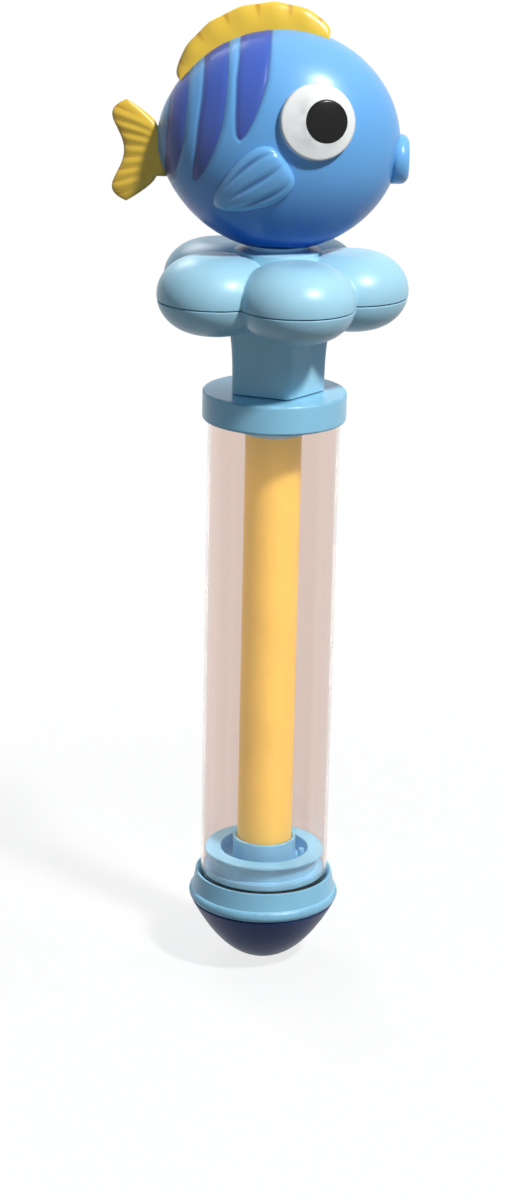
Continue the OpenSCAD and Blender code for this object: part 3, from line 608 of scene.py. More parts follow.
def new_material(name, **constants):
    """A material, its shader with these constants set, and the Object coordinates to build on."""
    material = bpy.data.materials.new(name)
    material.use_nodes = True
    tree = material.node_tree
    shader = tree.nodes["Principled BSDF"]
    for key, value in constants.items():
        shader.inputs[key.replace("_", " ")].default_value = value
    place = tree.nodes.new("ShaderNodeTexCoord")
    return material, shader, Sock(tree, place.outputs["Object"])


def feed(shader, **links):
    """Joins values to the shader's sockets."""
    for key, value in links.items():
        value.tree.links.new(value.socket, shader.inputs[key.replace("_", " ")])


def shade(rgb, factor=1.0, white=0.0):
    """A colour made lighter or darker, with some white in it, as four numbers."""
    mixed = np.clip(np.asarray(rgb) * factor, 0, 1) * (1 - white) + white
    return (*mixed, 1.0)


def seen(start):
    """1 for the rays that show the background: straight, mirrored and through the tube."""
    paths = [start.add("ShaderNodeLightPath", {}, {}, out=name)
             for name in ("Is Camera Ray", "Is Glossy Ray", "Is Transmission Ray")]
    return (paths[0] + paths[1] + paths[2]).held()


def mix_in(shader, other, part):
    """Shows another shader in the place of a material's own, for a part from 0 to 1."""
    tree = part.tree
    own = Sock(tree, shader.outputs[0])
    mixed = part.add("ShaderNodeMixShader", {}, {0: part, 1: own, 2: other})
    tree.links.new(mixed.socket, tree.nodes["Material Output"].inputs["Surface"])


def surface_finish(place, tint, rgb, gloss, rub_and_highlight_share=RUB_AND_HIGHLIGHT, peel=PEEL):
    """What all moulded pieces share: edges paled by rubbing and a painted highlight, corners darkened by dust
    and painted shade, uneven gloss and orange peel.
    """
    wear = place.stored("wear")
    patchy = place.noise(PATCHES, detail=4.0)
    rub_and_highlight = (wear * WEAR_AND_SHADING_SHARE + patchy * PATCH_SHARE).smooth(*RUB_AND_HIGHLIGHT_RANGE)
    dust_and_shade = (0.0 - wear).held() * patchy.smooth(*DUST_AND_SHADE_RANGE)
    # Paints a highlight with the rubbing on pale edges, then painted shade with the dust in the hollows
    tint = (rub_and_highlight * rub_and_highlight_share).blend(tint, shade(rgb, factor=1.1, white=RUB_AND_HIGHLIGHT_WHITE * rub_and_highlight_share))
    tint = (dust_and_shade * DUST_AND_SHADE).blend(tint, shade(rgb, factor=0.45))
    rough = gloss + (patchy - 0.5) * PATCH_ROUGH + rub_and_highlight * RUB_ROUGH + dust_and_shade * DUST_ROUGH
    height = place.noise(GRAIN) + place.noise(GRAIN / SWELL_WIDTH, detail=1.0) * SWELL_HEIGHT
    return {"Base_Color": tint, "Roughness": rough, "Normal": height.bump(peel * MM)}


def moulded(name, rgb, gloss=0.3, cloud=0.06, rub_and_highlight_share=RUB_AND_HIGHLIGHT, peel=PEEL, **constants):
    """Moulded plastic: the colour is faintly cloudy, with fine specks of pigment."""
    material, shader, place = new_material(name, **constants)
    specks = place.noise(SPECKS, detail=1.0) * SPECK_SHARE
    cloudy = (place.noise(CLOUDS, detail=3.0) + specks - SPECK_MEAN).smooth(*CLOUD_RANGE)
    tint = cloudy.blend(shade(rgb, factor=1 - cloud), shade(rgb, factor=1 + cloud))
    feed(shader, **surface_finish(place, tint, rgb, gloss, rub_and_highlight_share, peel))
    return material


def clear_plastic(name, rgb):
    """Clear tube: glass tinted with painted backdrop colour, with faint drawing lines and smudges.

    Rays from the lamps, and a share of the soft light inside, pass it straight, with a paler tint.
    """
    material, shader, place = new_material(name, Transmission_Weight=1.0, IOR=1.1, Coat_Weight=0.6)
    lines, smudge = place.drawn_noise(*LINES), place.noise(SMUDGES, detail=3.0)
    streaks = place.drawn_noise(*STREAKS, detail=1.0).smooth(*STREAK_RANGE)
    feed(shader, Base_Color=streaks.blend(shade(rgb, factor=0.95), shade(rgb, white=0.08)),
         Roughness=smudge.smooth(*SMUDGE_RANGE) * 0.05 + 0.015, Normal=(lines + smudge).bump(LINE_DEPTH * MM))
    passing = place.add("ShaderNodeBsdfTransparent", {}, {"Color": shade(rgb, white=0.75)})
    lamp_ray, soft_ray = (place.add("ShaderNodeLightPath", {}, {}, out=name)
                          for name in ("Is Shadow Ray", "Is Diffuse Ray"))
    mix_in(shader, passing, (lamp_ray + soft_ray * SOFT_SHARE).held())
    return material


def fish_paint(name, colours, middle_z, half_height):
    """Fish body: darker towards the belly and lighter towards the crest, bands that do the same and whose
    edge distance is stored at each point, and painted shade in the groove round each band.
    """
    material, shader, place = new_material(name, Specular_IOR_Level=0.4)
    back, belly, band = colours.fish_back, colours.fish_belly, colours.fish_band
    cloudy = place.noise(PAINT_CLOUDS, detail=3.0) - 0.5
    height = (place.axis("Z") - middle_z) * (1 / half_height) + cloudy * HEIGHT_SHIFT
    tint = height.smooth(*BELLY_TO_BACK).blend(shade(belly), shade(back))
    tint = height.smooth(*BACK_TO_CREST).blend(tint, shade(back, factor=1.12, white=0.03))
    edge = place.stored("band") * (1 / MM)
    band_tint = height.smooth(*BAND_FADE).blend(shade(band, factor=0.62), shade(band, factor=1.15))
    tint = (edge + cloudy * EDGE_SHIFT).smooth(*BAND_EDGE).blend(tint, band_tint)
    # Painted shade: a dark line in the groove round each band
    line = 1.0 - abs(edge + LINE_OUT).smooth(*BAND_LINE)
    tint = (line * LINE_SHARE).blend(tint, shade(band, factor=0.35))
    feed(shader, **surface_finish(place, tint, back, gloss=0.3))
    return material


def rayed_fin(name, rgb, low):
    """Fin plastic: painted shade makes its stored grooves darker than its ribs."""
    material, shader, place = new_material(name)
    groove = place.stored("groove")
    cloudy = place.noise(FIN_CLOUDS, detail=3.0).smooth(*CLOUD_RANGE)
    tint = cloudy.blend(shade(rgb, factor=0.95), shade(rgb, factor=1.05))
    # Painted shade in the grooves
    tint = (groove.smooth(*GROOVE_SHADE_RANGE) * GROOVE_SHADE_SHARE).blend(tint, shade(low))
    feed(shader, **surface_finish(place, tint, rgb, gloss=0.32))
    return material


def rubber(name, rgb):
    """Black rubber: dull and finely grained, with a little grey bloom."""
    material, shader, place = new_material(name, Specular_IOR_Level=0.3)
    bloom = place.noise(BLOOM, detail=4.0).smooth(*BLOOM_RANGE)
    tint = (bloom * BLOOM_SHARE).blend(shade(rgb), shade(rgb, white=0.12))
    grain = place.noise(RUBBER_GRAIN).bump(RUBBER_DEPTH * MM)
    feed(shader, Base_Color=tint, Roughness=0.62 + bloom * 0.2, Normal=grain)
    return material


def plated_steel(name, rgb):
    """Zinc-plated screw steel: metal with a mottled, lightly scratched plating."""
    material, shader, place = new_material(name, Metallic=1.0)
    mottle = place.noise(MOTTLES, detail=5.0)
    tint = mottle.blend(shade(rgb, factor=0.8), shade(rgb, factor=1.1))
    scratches = place.noise(SCRATCHES, detail=3.0).bump(SCRATCH_DEPTH * MM)
    feed(shader, Base_Color=tint, Roughness=0.24 + mottle * 0.22, Normal=scratches)
    return material


class Body:
    """The plain oval body of the fish, as formulas on arrays, about its own middle."""

    # How narrow the nose and the tail stalk are
    NOSE_POWER = 12
    STALK_POWER = 24
    # Bands across the back: place along the body, place of the lower tip, half width and backward sweep,
    # as shares of the half length, the half height and the half length twice, and the rise of a round tip
    BAND_SHARES = ((-0.22, 0.10, 0.125, 0.12), (-0.55, -0.30, 0.10, 0.16), (-0.86, -0.42, 0.075, 0.10))
    TIP_RISE = 0.5

    def __init__(self, sizes):
        self.sizes = sizes
        self.half_length = sizes.body_length / 2
        self.half_height = sizes.body_height / 2
        self.half_width = sizes.body_width / 2
        seat_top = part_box("petal_upper_shell")[1].z
        self.middle = np.array([0, 0, seat_top - sizes.seat_sink + self.half_height])

    def outline(self, a):
        """Polar radius of the side view: an oval that stands out a little at the nose and the tail stalk."""
        oval = 1 / np.hypot(np.cos(a) / self.half_length, np.sin(a) / self.half_height)
        nose = self.sizes.nose_share * ((1 + np.cos(a - self.sizes.mouth_angle)) / 2) ** self.NOSE_POWER
        stalk = self.sizes.stalk_share * ((1 - np.cos(a)) / 2) ** self.STALK_POWER
        return oval * (1 + nose + stalk)

    def flank(self, x, z):
        """Half thickness at a place of the side view: an ellipse from the outline to the middle."""
        inside = np.hypot(x, z) / self.outline(np.arctan2(z, x))
        return self.half_width * np.sqrt(np.clip(1 - inside ** 2, 0, None))

    def flank_turn(self, x, z):
        """Matrix whose third column points straight out of the right flank, its second column forwards."""
        slope_x = (self.flank(x + MM, z) - self.flank(x - MM, z)) / (2 * MM)
        slope_z = (self.flank(x, z + MM) - self.flank(x, z - MM)) / (2 * MM)
        out = unit(np.array([-slope_x, -1.0, -slope_z]))
        forward = unit(np.array([-out[1], out[0], 0.0]))
        return np.stack([np.cross(forward, out), forward, out], axis=1)

    def band(self, x, z):
        """Distance inside the nearest band, below 0 outside: swept stripes from the back to a round tip."""
        inside = []
        for along, tip, width, lean in self.BAND_SHARES:
            rise = z / self.half_height - tip
            centre = self.half_length * (along - lean * (1 - np.clip(rise, 0, 2)) ** 2)
            half = self.half_length * width * np.sqrt(np.clip(rise / self.TIP_RISE, 0, 1))
            below = -np.hypot(x - centre, rise * self.half_height)
            inside.append(np.where(rise > 0, half - np.abs(x - centre), below))
        return np.max(inside, axis=0)


class SQUIRTER_OT_barrel(bpy.types.Operator):
    """Makes the clear barrel tube"""

    bl_idname = "squirter.barrel"
    bl_label = "Clear barrel"
    bl_options = {"REGISTER", "UNDO"}

    def execute(self, context):
        scene = context.scene
        sizes = scene.squirter_barrel
        tube = pipe("barrel_tube", sizes.tube_wall, sizes.tube_edge)
        dress("barrel_tube", [tube], clear_plastic("Clear tube", scene.squirter_colours.clear))
        return {"FINISHED"}


class SQUIRTER_OT_cap(bpy.types.Operator):
    """Makes the cap with its skirt and the boss that guides the rod"""

    bl_idname = "squirter.cap"
    bl_label = "Top cap"
    bl_options = {"REGISTER", "UNDO"}

    def execute(self, context):
        scene = context.scene
        sizes = scene.squirter_barrel
        radius, guide_low, top = reach("top_cap")
        tube_radius, _, tube_top = reach("barrel_tube")
        socket = tube_radius + sizes.fit_gap
        guide = reach("plunger_rod")[0] + sizes.guide_gap
        boss = guide + sizes.guide_wall
        skirt_low = tube_top - sizes.cap_skirt
        corners = [(guide, guide_low), (boss, guide_low), (boss, tube_top), (socket, tube_top),
                   (socket, skirt_low), (radius, skirt_low), (radius, top), (guide, top)]
        radii = [sizes.cap_round if r == radius else sizes.edge for r, _ in corners]
        outline = rounded(corners, radii)
        # A strong rub-and-highlight share paints highlights on the cap's edges
        dress("top_cap", [lathe(outline)], moulded("Sky cap", scene.squirter_colours.sky, rub_and_highlight_share=0.8))
        return {"FINISHED"}


class SQUIRTER_OT_nozzle(bpy.types.Operator):
    """Makes the nozzle: the collar that carries the tube, and the cone with the outlet"""

    bl_idname = "squirter.nozzle"
    bl_label = "Nozzle"
    bl_options = {"REGISTER", "UNDO"}

    CONE_STEPS = 40

    def execute(self, context):
        scene = context.scene
        sizes, colours = scene.squirter_barrel, scene.squirter_colours
        # A strong rub-and-highlight share paints highlights on the collar's rim and bead
        self.collar(sizes, moulded("Sky collar", colours.sky, rub_and_highlight_share=0.9))
        # Painted shade: the cone's navy stands for shade on its downward face, not a navy plastic
        self.cone(sizes, moulded("Navy cone", colours.cone_shade_navy, gloss=0.34, rub_and_highlight_share=0.2, Specular_IOR_Level=0.14))
        return {"FINISHED"}

    def collar(self, sizes, material):
        """Turned collar: ledge, a lip that is a round bead, and a band that narrows to a thin rim."""
        lip, low, rim = reach("nozzle_collar")
        tube_radius = reach("barrel_tube")[0]
        socket = tube_radius + sizes.fit_gap
        ledge = tube_radius - sizes.tube_wall - sizes.ledge_reach
        ledge_top, band_low = low + sizes.ledge, low + sizes.lip_height
        bead, stop = sizes.lip_round, sizes.lip_end
        middle = np.array([lip - bead, band_low - bead])
        end = middle + bead * heading(stop)
        band = lip - sizes.band_inset
        crease = (band, end[1] + (end[0] - band) / math.tan(stop))
        corners = [(ledge, low), (lip, low), arc_corner(middle, bead, 0, stop), crease,
                   (socket + sizes.rim_wall, rim), (socket + sizes.rim_chamfer, rim),
                   (socket, rim - sizes.rim_chamfer), (socket, ledge_top), (ledge, ledge_top)]
        radii = [sizes.edge, bead, bead, sizes.crease]
        radii += [sizes.edge] * (len(corners) - len(radii))
        dress("nozzle_collar", [lathe(rounded(corners, radii))], material)

    def cone(self, sizes, material):
        """Turned cone: from a flat land its height grows as a power of its radius; spigot and funnel."""
        wide, low, spigot_top = reach("nozzle_cone")
        base = spigot_top - sizes.ledge
        land, outlet, power = sizes.tip_flat / 2, sizes.outlet / 2, sizes.cone_power
        radius = np.linspace(land, wide, self.CONE_STEPS)
        rise = (radius ** power - land ** power) / (wide ** power - land ** power)
        side = np.stack([radius, low + (base - low) * rise], axis=-1)
        spigot = reach("barrel_tube")[0] - sizes.tube_wall - sizes.ledge_reach - sizes.fit_gap
        inner = spigot - sizes.spigot_wall
        corners = [side[-2], (wide, base), (spigot, base), (spigot, spigot_top), (inner, spigot_top),
                   (inner, base), (outlet, low + sizes.outlet_length), (outlet, low), side[0]]
        rest, rest_wear_and_shading = rounded(corners, sizes.edge, closed=False)
        outline = np.concatenate([side[:-2], rest[:-1]])
        wear = np.concatenate([np.zeros(len(side) - 2), rest_wear_and_shading[:-1]])
        dress("nozzle_cone", [lathe((outline, wear))], material)


class SQUIRTER_OT_piston(bpy.types.Operator):
    """Makes the piston with its hub and moulding nub, and the seal ring in its groove"""

    bl_idname = "squirter.piston"
    bl_label = "Piston and seal"
    bl_options = {"REGISTER", "UNDO"}

    NUB_SIDES = 32
    CORD_SIDES = 48

    def execute(self, context):
        scene = context.scene
        sizes, colours = scene.squirter_barrel, scene.squirter_colours
        # A strong rub-and-highlight share paints highlights on the rims of the piston's flange and hub
        self.piston(sizes, moulded("Piston plastic", colours.piston, rub_and_highlight_share=0.9, Specular_IOR_Level=0.3))
        dress("piston_seal", [self.seal()], rubber("Seal rubber", colours.rubber))
        return {"FINISHED"}

    def piston(self, sizes, material):
        """Turned piston: foot, seal groove, land, waist, flange, recess and hub."""
        radius, low, hub_top = reach("piston")
        rod, rod_low, _ = reach("plunger_rod")
        seal, seal_low, seal_high = reach("piston_seal")
        socket = rod + sizes.fit_gap
        hub = socket + sizes.hub_wall
        top = hub_top - sizes.hub_rise
        floor = top - sizes.recess_depth
        waist, recess = radius - sizes.waist, sizes.recess / 2
        groove = seal - (seal_high - seal_low) - sizes.fit_gap
        groove_low, groove_high = seal_low - sizes.fit_gap / 2, seal_high + sizes.fit_gap / 2
        land_top = groove_high + sizes.land
        flange_low = top - sizes.flange
        corners = [(0, low), (radius - sizes.foot_chamfer, low), (radius, low + sizes.foot_chamfer),
                   (radius, groove_low), (groove, groove_low), (groove, groove_high), (radius, groove_high),
                   (radius, land_top), (waist, land_top), (waist, flange_low), (radius, flange_low),
                   (radius, top), (recess, top), (recess, floor), (hub, floor), (hub, hub_top),
                   (socket, hub_top), (socket, rod_low), (0, rod_low)]
        radii = [sizes.piston_rim if z in (top, hub_top) else sizes.piston_edge for _, z in corners]
        body = lathe(rounded(corners, radii, closed=False), closed=False)
        nub, height = sizes.nub / 2, sizes.nub_share * sizes.recess_depth
        outline = rounded([(0, -height), (nub, -height), (nub, height), (0, height)], nub / 2, closed=False)
        knob = lathe(outline, closed=False, sides=self.NUB_SIDES)
        knob = moved(knob, np.eye(3), ((hub + recess) / 2, 0, floor))
        dress("piston", [body, knob], material)

    def seal(self):
        """Ring: a round cord carried round Z."""
        radius, low, high = reach("piston_seal")
        cord, middle = (high - low) / 2, (low + high) / 2
        turn = full_turn(self.CORD_SIDES)
        section = np.stack([radius - cord + cord * np.cos(turn), middle + cord * np.sin(turn)], axis=-1)
        return lathe((section, np.zeros(len(turn))))


class SQUIRTER_OT_rod(bpy.types.Operator):
    """Makes the hollow yellow rod"""

    bl_idname = "squirter.rod"
    bl_label = "Plunger rod"
    bl_options = {"REGISTER", "UNDO"}

    def execute(self, context):
        scene = context.scene
        sizes = scene.squirter_barrel
        rod = pipe("plunger_rod", sizes.rod_wall, sizes.edge)
        dress("plunger_rod", [rod], moulded("Yellow rod", scene.squirter_colours.yellow, gloss=0.34))
        return {"FINISHED"}


class SQUIRTER_OT_grip(bpy.types.Operator):
    """Makes the two halves of the five-petalled grip"""

    bl_idname = "squirter.grip"
    bl_label = "Petalled grip"
    bl_options = {"REGISTER", "UNDO"}

    PETALS = 5
    # Angles in each petal, and points along its skins, up the neck and in each bend
    PETAL_SIDES = 64
    SKIN_STEPS = 48
    NECK_STEPS = 16
    BEND_STEPS = 8
    # How fast the neck flares towards the petals, and the flat kept at its foot, in edge roundings
    FLARE_POWER = 3
    SOLE_EDGES = 3
    # Wear-and-shading of the grip: edges pale for rubbing and a painted highlight; blends and the seam groove
    # dark for dust and painted shade
    EDGE_WEAR_AND_HIGHLIGHT = 0.7
    BLEND_DUST_AND_SHADE = -0.5
    GROOVE_DUST_AND_SHADE = -1.0

    def execute(self, context):
        scene = context.scene
        self.sizes = scene.squirter_grip
        self.gap = scene.squirter_barrel.fit_gap
        pitch = TAU / self.PETALS
        local = (np.arange(self.PETAL_SIDES) / self.PETAL_SIDES - 0.5) * pitch
        self.local = np.tile(local, self.PETALS)
        self.turn = (self.sizes.petal_turn + np.arange(self.PETALS)[:, None] * pitch + local).ravel()
        self.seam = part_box("petal_upper_shell")[0].z
        self.middle = self.seam + self.sizes.seam_drop
        material = moulded("Petal plastic", scene.squirter_colours.petal, gloss=0.36)
        dress("petal_lower_shell", [self.lower()], material)
        dress("petal_upper_shell", [self.upper()], material)
        return {"FINISHED"}

    def petal(self, inset):
        """A petal cut by an upright plane through Z: the cut's middle, half width and distance off axis."""
        ring, off = self.sizes.ring / 2, self.sizes.ring / 2 * np.sin(self.local)
        return ring * np.cos(self.local), np.sqrt((self.sizes.petal / 2 - inset) ** 2 - off ** 2), off

    def crown(self, inset, beside, off):
        """Height of a petal's skin at a place off its axis: a flat, and round it a quarter of an ellipse."""
        flat = self.sizes.petal_flat / 2
        fall = (np.hypot(beside, off) - flat) / (self.sizes.petal / 2 - inset - flat)
        return (self.sizes.petal_height / 2 - inset) * np.sqrt(1 - np.clip(fall, 0, 1) ** 2)

    def neck(self):
        """Polar radius of the five-sided neck: flats, and a round corner under each petal."""
        flat = reach("plunger_rod")[0] + self.gap + self.sizes.neck_wall
        half, edge = math.pi / self.PETALS, self.sizes.neck_round
        centre = (flat - edge) / math.cos(half)
        off = np.abs(self.local)
        corner = centre * np.cos(off) + np.sqrt(np.clip(edge ** 2 - (centre * np.sin(off)) ** 2, 0, None))
        limit = math.atan2(edge * math.sin(half), centre + edge * math.cos(half))
        return np.where(off < limit, corner, flat / np.cos(half - off))

    def fixed(self, *points):
        """The same points of the section at every angle."""
        return np.broadcast_to(np.array(points), (len(self.turn), len(points), 2))

    def pair(self, radius, height):
        """Points of the section from arrays with one row for each angle."""
        return np.stack(np.broadcast_arrays(radius, height), axis=-1)

    def skin(self, inset, start, stop, side):
        """Part of a petal's cut, from one angle above or below its middle to another."""
        mid, wide, off = (value[:, None] for value in self.petal(inset))
        along = np.linspace(0, 1, self.SKIN_STEPS)
        swing = start[:, None] + (stop - start)[:, None] * along
        beside = wide * np.cos(swing)
        return self.pair(mid + beside, self.middle + side * np.sign(swing) * self.crown(inset, beside, off))

    def swing_at_seam(self, inset, shift):
        """Angle on the petal's cut at the seam, moved by shift away from it."""
        _, wide, off = self.petal(inset)
        flat = self.sizes.petal_flat / 2
        drop = (self.sizes.seam_drop + shift) / (self.sizes.petal_height / 2 - inset)
        across = flat + (self.sizes.petal / 2 - inset - flat) * math.sqrt(1 - drop ** 2)
        return np.arccos(np.sqrt(across ** 2 - off ** 2) / wide)

    def swing_at_radius(self, inset, radius):
        """Angle on the petal's cut, inside its middle, at a radius about Z."""
        mid, wide, _ = self.petal(inset)
        return np.arccos((radius - mid) / wide)

    def bend(self, first, corner, last):
        """Curve from one point to another that leaves and arrives along the lines to a corner point."""
        along = np.linspace(0, 1, self.BEND_STEPS + 2)[1:-1][None, :, None]
        ends = (1 - along) ** 2 * first[:, None] + along ** 2 * last[:, None]
        return ends + 2 * along * (1 - along) * corner[:, None]

    def seam_lip(self, skin_end, side):
        """From the skin's end round an edge and along half the parting groove to the seam's plane."""
        radius, level = skin_end[:, :1], self.seam + side * self.sizes.seam_gap / 2
        groove = self.pair(radius - np.array([self.sizes.edge, self.sizes.seam_depth]), level)
        corner = self.pair(radius[:, 0], level)
        floor = self.pair(radius - self.sizes.seam_depth, self.seam)
        edge = self.bend(skin_end, corner, groove[:, 0])
        return [(edge, self.EDGE_WEAR_AND_HIGHLIGHT), (groove, self.GROOVE_DUST_AND_SHADE), (floor, self.GROOVE_DUST_AND_SHADE)]

    def lower(self):
        """Lower half: at each angle a closed section of neck, petal underside, seam, hollow and socket."""
        sizes = self.sizes
        neck_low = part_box("petal_lower_shell")[0].z
        rod, _, rod_top = reach("plunger_rod")
        socket, edge = rod + self.gap, sizes.edge
        core, bore, hole = sizes.core_bore / 2 + sizes.core_wall, sizes.core_bore / 2, sizes.screw_hole / 2
        neck = self.neck()
        flared = neck + sizes.neck_flare
        mid, wide, off = self.petal(0)
        meet = self.middle - self.crown(0, flared - mid, off)
        rise = np.linspace(0, 1, self.NECK_STEPS)
        height = (neck_low + edge) + (meet - sizes.neck_blend - neck_low - edge)[:, None] * rise
        side = self.pair(neck[:, None] + sizes.neck_flare * rise ** self.FLARE_POWER, height)
        skin = self.skin(0, self.swing_at_radius(0, flared) - sizes.neck_blend / wide,
                         self.swing_at_seam(0, edge + sizes.seam_gap / 2), -1)
        blend = self.bend(side[:, -1], np.stack([flared, meet], axis=-1), skin[:, 0])
        hollow = self.skin(sizes.petal_wall, self.swing_at_seam(sizes.petal_wall, 0),
                           self.swing_at_radius(sizes.petal_wall, core), -1)
        foot = self.bend(self.pair(neck - edge, neck_low), self.pair(neck, neck_low), side[:, 0])
        deck_top = rod_top + sizes.deck
        inside = self.fixed((core, self.seam), (bore, self.seam), (bore, deck_top), (hole, deck_top),
                            (hole, rod_top), (socket, rod_top), (socket, neck_low))
        sole = self.pair(neck[:, None] - np.array([self.SOLE_EDGES * edge, edge]), neck_low)
        lip = self.seam_lip(skin[:, -1], -1)
        return self.section_patch([(sole, 0.0), (foot, self.EDGE_WEAR_AND_HIGHLIGHT), (side, 0.0), (blend, self.BLEND_DUST_AND_SHADE),
                                   (skin, 0.0), *lip, (hollow, 0.0), (inside, 0.0)])

    def upper(self):
        """Upper half: at each angle a closed section of seam, petal crown, seat, post hole and hollow."""
        sizes = self.sizes
        seat_top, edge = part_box("petal_upper_shell")[1].z, sizes.edge
        plate, foot_top = seat_top - sizes.seat_plate, seat_top - sizes.seat_foot_drop
        core, bore = sizes.core_bore / 2 + sizes.core_wall, sizes.core_bore / 2
        foot, seat, post = sizes.seat_foot / 2, sizes.seat / 2, sizes.post_hole / 2
        mid, wide, off = self.petal(0)
        skin = self.skin(0, -self.swing_at_seam(0, -edge - sizes.seam_gap / 2),
                         self.swing_at_radius(0, foot) - sizes.seat_blend / wide, 1)
        meet = self.middle + self.crown(0, foot - mid, off)
        wall = self.pair(np.full((len(meet), 1), foot), meet[:, None] + sizes.seat_blend)
        blend = self.bend(skin[:, -1], self.pair(np.full(len(meet), foot), meet), wall[:, 0])
        hollow = self.skin(sizes.petal_wall, self.swing_at_radius(sizes.petal_wall, core),
                           -self.swing_at_seam(sizes.petal_wall, 0), 1)
        corners = [(foot, foot_top - 2 * edge), (foot, foot_top), (seat, seat_top - sizes.seat_neck_drop),
                   (seat, seat_top), (post, seat_top), (post, plate), (bore, plate), (bore, self.seam),
                   (core, self.seam)]
        boss = self.fixed(*rounded(corners, edge, closed=False)[0])
        lip = [(part[:, ::-1], wear) for part, wear in reversed(self.seam_lip(skin[:, 0], 1))]
        return self.section_patch([*lip, (skin, 0.0), (blend, self.BLEND_DUST_AND_SHADE), (wall, 0.0), (boss, 0.0),
                                   (hollow, 0.0)])

    def section_patch(self, parts):
        """Patch of the joined section parts, each given with its wear-and-shading value."""
        sections = np.concatenate([part for part, _ in parts], axis=1)
        wear = np.concatenate([np.full(part.shape[1], value) for part, value in parts])
        return sweep_round(self.turn, sections, wear)


class SQUIRTER_OT_fish_body(bpy.types.Operator):
    """Makes the fish's two body shells, with bands, seam and screw recesses"""

    bl_idname = "squirter.fish_body"
    bl_label = "Fish body"
    bl_options = {"REGISTER", "UNDO"}

    # Points round the outline, from flank to mid-plane and round a screw's recess
    AROUND = 384
    RINGS = 150
    RECESS_SIDES = 64
    # Power by which the band grooves fade towards the seam, and the cut of the seam's edge as a share of it
    GROOVE_FADE = 0.5
    SEAM_CUT = 0.3
    # The points of a screw's head lie past its recess's floor by more than this share of the floor's distance
    HEAD_SHARE = 0.2
    # Edges that bend by more than this are sharp round the recesses
    SHARP_BEND = math.radians(50)

    def execute(self, context):
        scene = context.scene
        self.sizes = scene.squirter_fish
        self.body = Body(self.sizes)
        paint = fish_paint("Fish paint", scene.squirter_colours, self.body.middle[2], self.body.half_height)
        right = self.half()
        right_piece = dress("fish_shell_right", [right], paint)
        left_piece = dress("fish_shell_left", [mirrored(right)], paint)
        self.cut_recesses(left_piece)
        for piece in (right_piece, left_piece):
            places = point_places(piece.data) - self.body.middle
            set_point_values(piece.data, "band", self.body.band(places[:, 0], places[:, 2]))
        return {"FINISHED"}

    def half(self):
        """Right half: an ellipse from each outline point to the flank, with grooved bands and a flat back.

        Rows run from the flank's middle to the mid-plane, round the seam's edge and back to the middle.
        """
        body, seam = self.body, self.sizes.seam
        around = full_turn(self.AROUND)
        rim = math.asin(seam / body.half_width)
        lift = np.linspace(QUARTER, rim, self.RINGS)[:, None]
        radius = body.outline(around)
        x, z = (radius * np.cos(lift) * trig(around) for trig in (np.cos, np.sin))
        edge = body.band(x, z) / self.sizes.groove_width
        grow = -self.sizes.groove * np.exp(-edge ** 2) * np.sin(lift) ** self.GROOVE_FADE
        radius = radius + grow
        skin = np.stack([radius * np.cos(lift) * np.cos(around), -(body.half_width + grow) * np.sin(lift),
                         radius * np.cos(lift) * np.sin(around)], axis=-1)
        cut = seam * self.SEAM_CUT
        inset = np.array([cut, seam, body.half_height / 2, body.half_height * 2])[:, None]
        depth = np.array([cut, 0.0, 0.0, 0.0])[:, None]
        back = np.clip(body.outline(around) - inset, 0, None)
        x, y, z = back * np.cos(around), np.broadcast_to(-depth, back.shape), back * np.sin(around)
        flat = np.stack([x, y, z], axis=-1)
        return Patch(np.concatenate([skin, flat]) + body.middle)

    def cut_recesses(self, piece):
        """Cuts the round recesses of the shell screws, whose places come from the screws themselves."""
        radius, land, far = self.sizes.screw_recess / 2, self.sizes.screw_land, self.sizes.body_width
        places = point_places(frame["nodes"]["shell_screws"].data)
        heads = places[places[:, 1] > land * (1 + self.HEAD_SHARE)]
        heads = heads[np.argsort(heads[:, 0])]
        outline = rounded([(0, 0), (radius, 0), (radius, far), (0, far)], self.sizes.seam, closed=False)
        hole = lathe(outline, closed=False, sides=self.RECESS_SIDES)
        turn = np.array([[1, 0, 0], [0, 0, 1], [0, -1, 0]])
        cutters = []
        for near in np.split(heads, np.nonzero(np.diff(heads[:, 0]) > radius)[0] + 1):
            x, z = (near[:, [0, 2]].min(axis=0) + near[:, [0, 2]].max(axis=0)) / 2
            cutters.append(moved(hole, turn, (x, land, z)))
        cutter = closed_object("recess_cutter", cutters)
        cut = piece.modifiers.new("Recesses", "BOOLEAN")
        cut.operation, cut.solver, cut.object = "DIFFERENCE", "EXACT", cutter
        shaped = piece.evaluated_get(bpy.context.evaluated_depsgraph_get())
        old = piece.data
        new = bpy.data.meshes.new_from_object(shaped)
        if not new.polygons:
            raise RuntimeError("the recesses cut the whole shell away")
        piece.modifiers.remove(cut)
        piece.data = new
        bpy.data.meshes.remove(old)
        bpy.data.objects.remove(cutter)
        piece.data.set_sharp_from_angle(angle=self.SHARP_BEND)


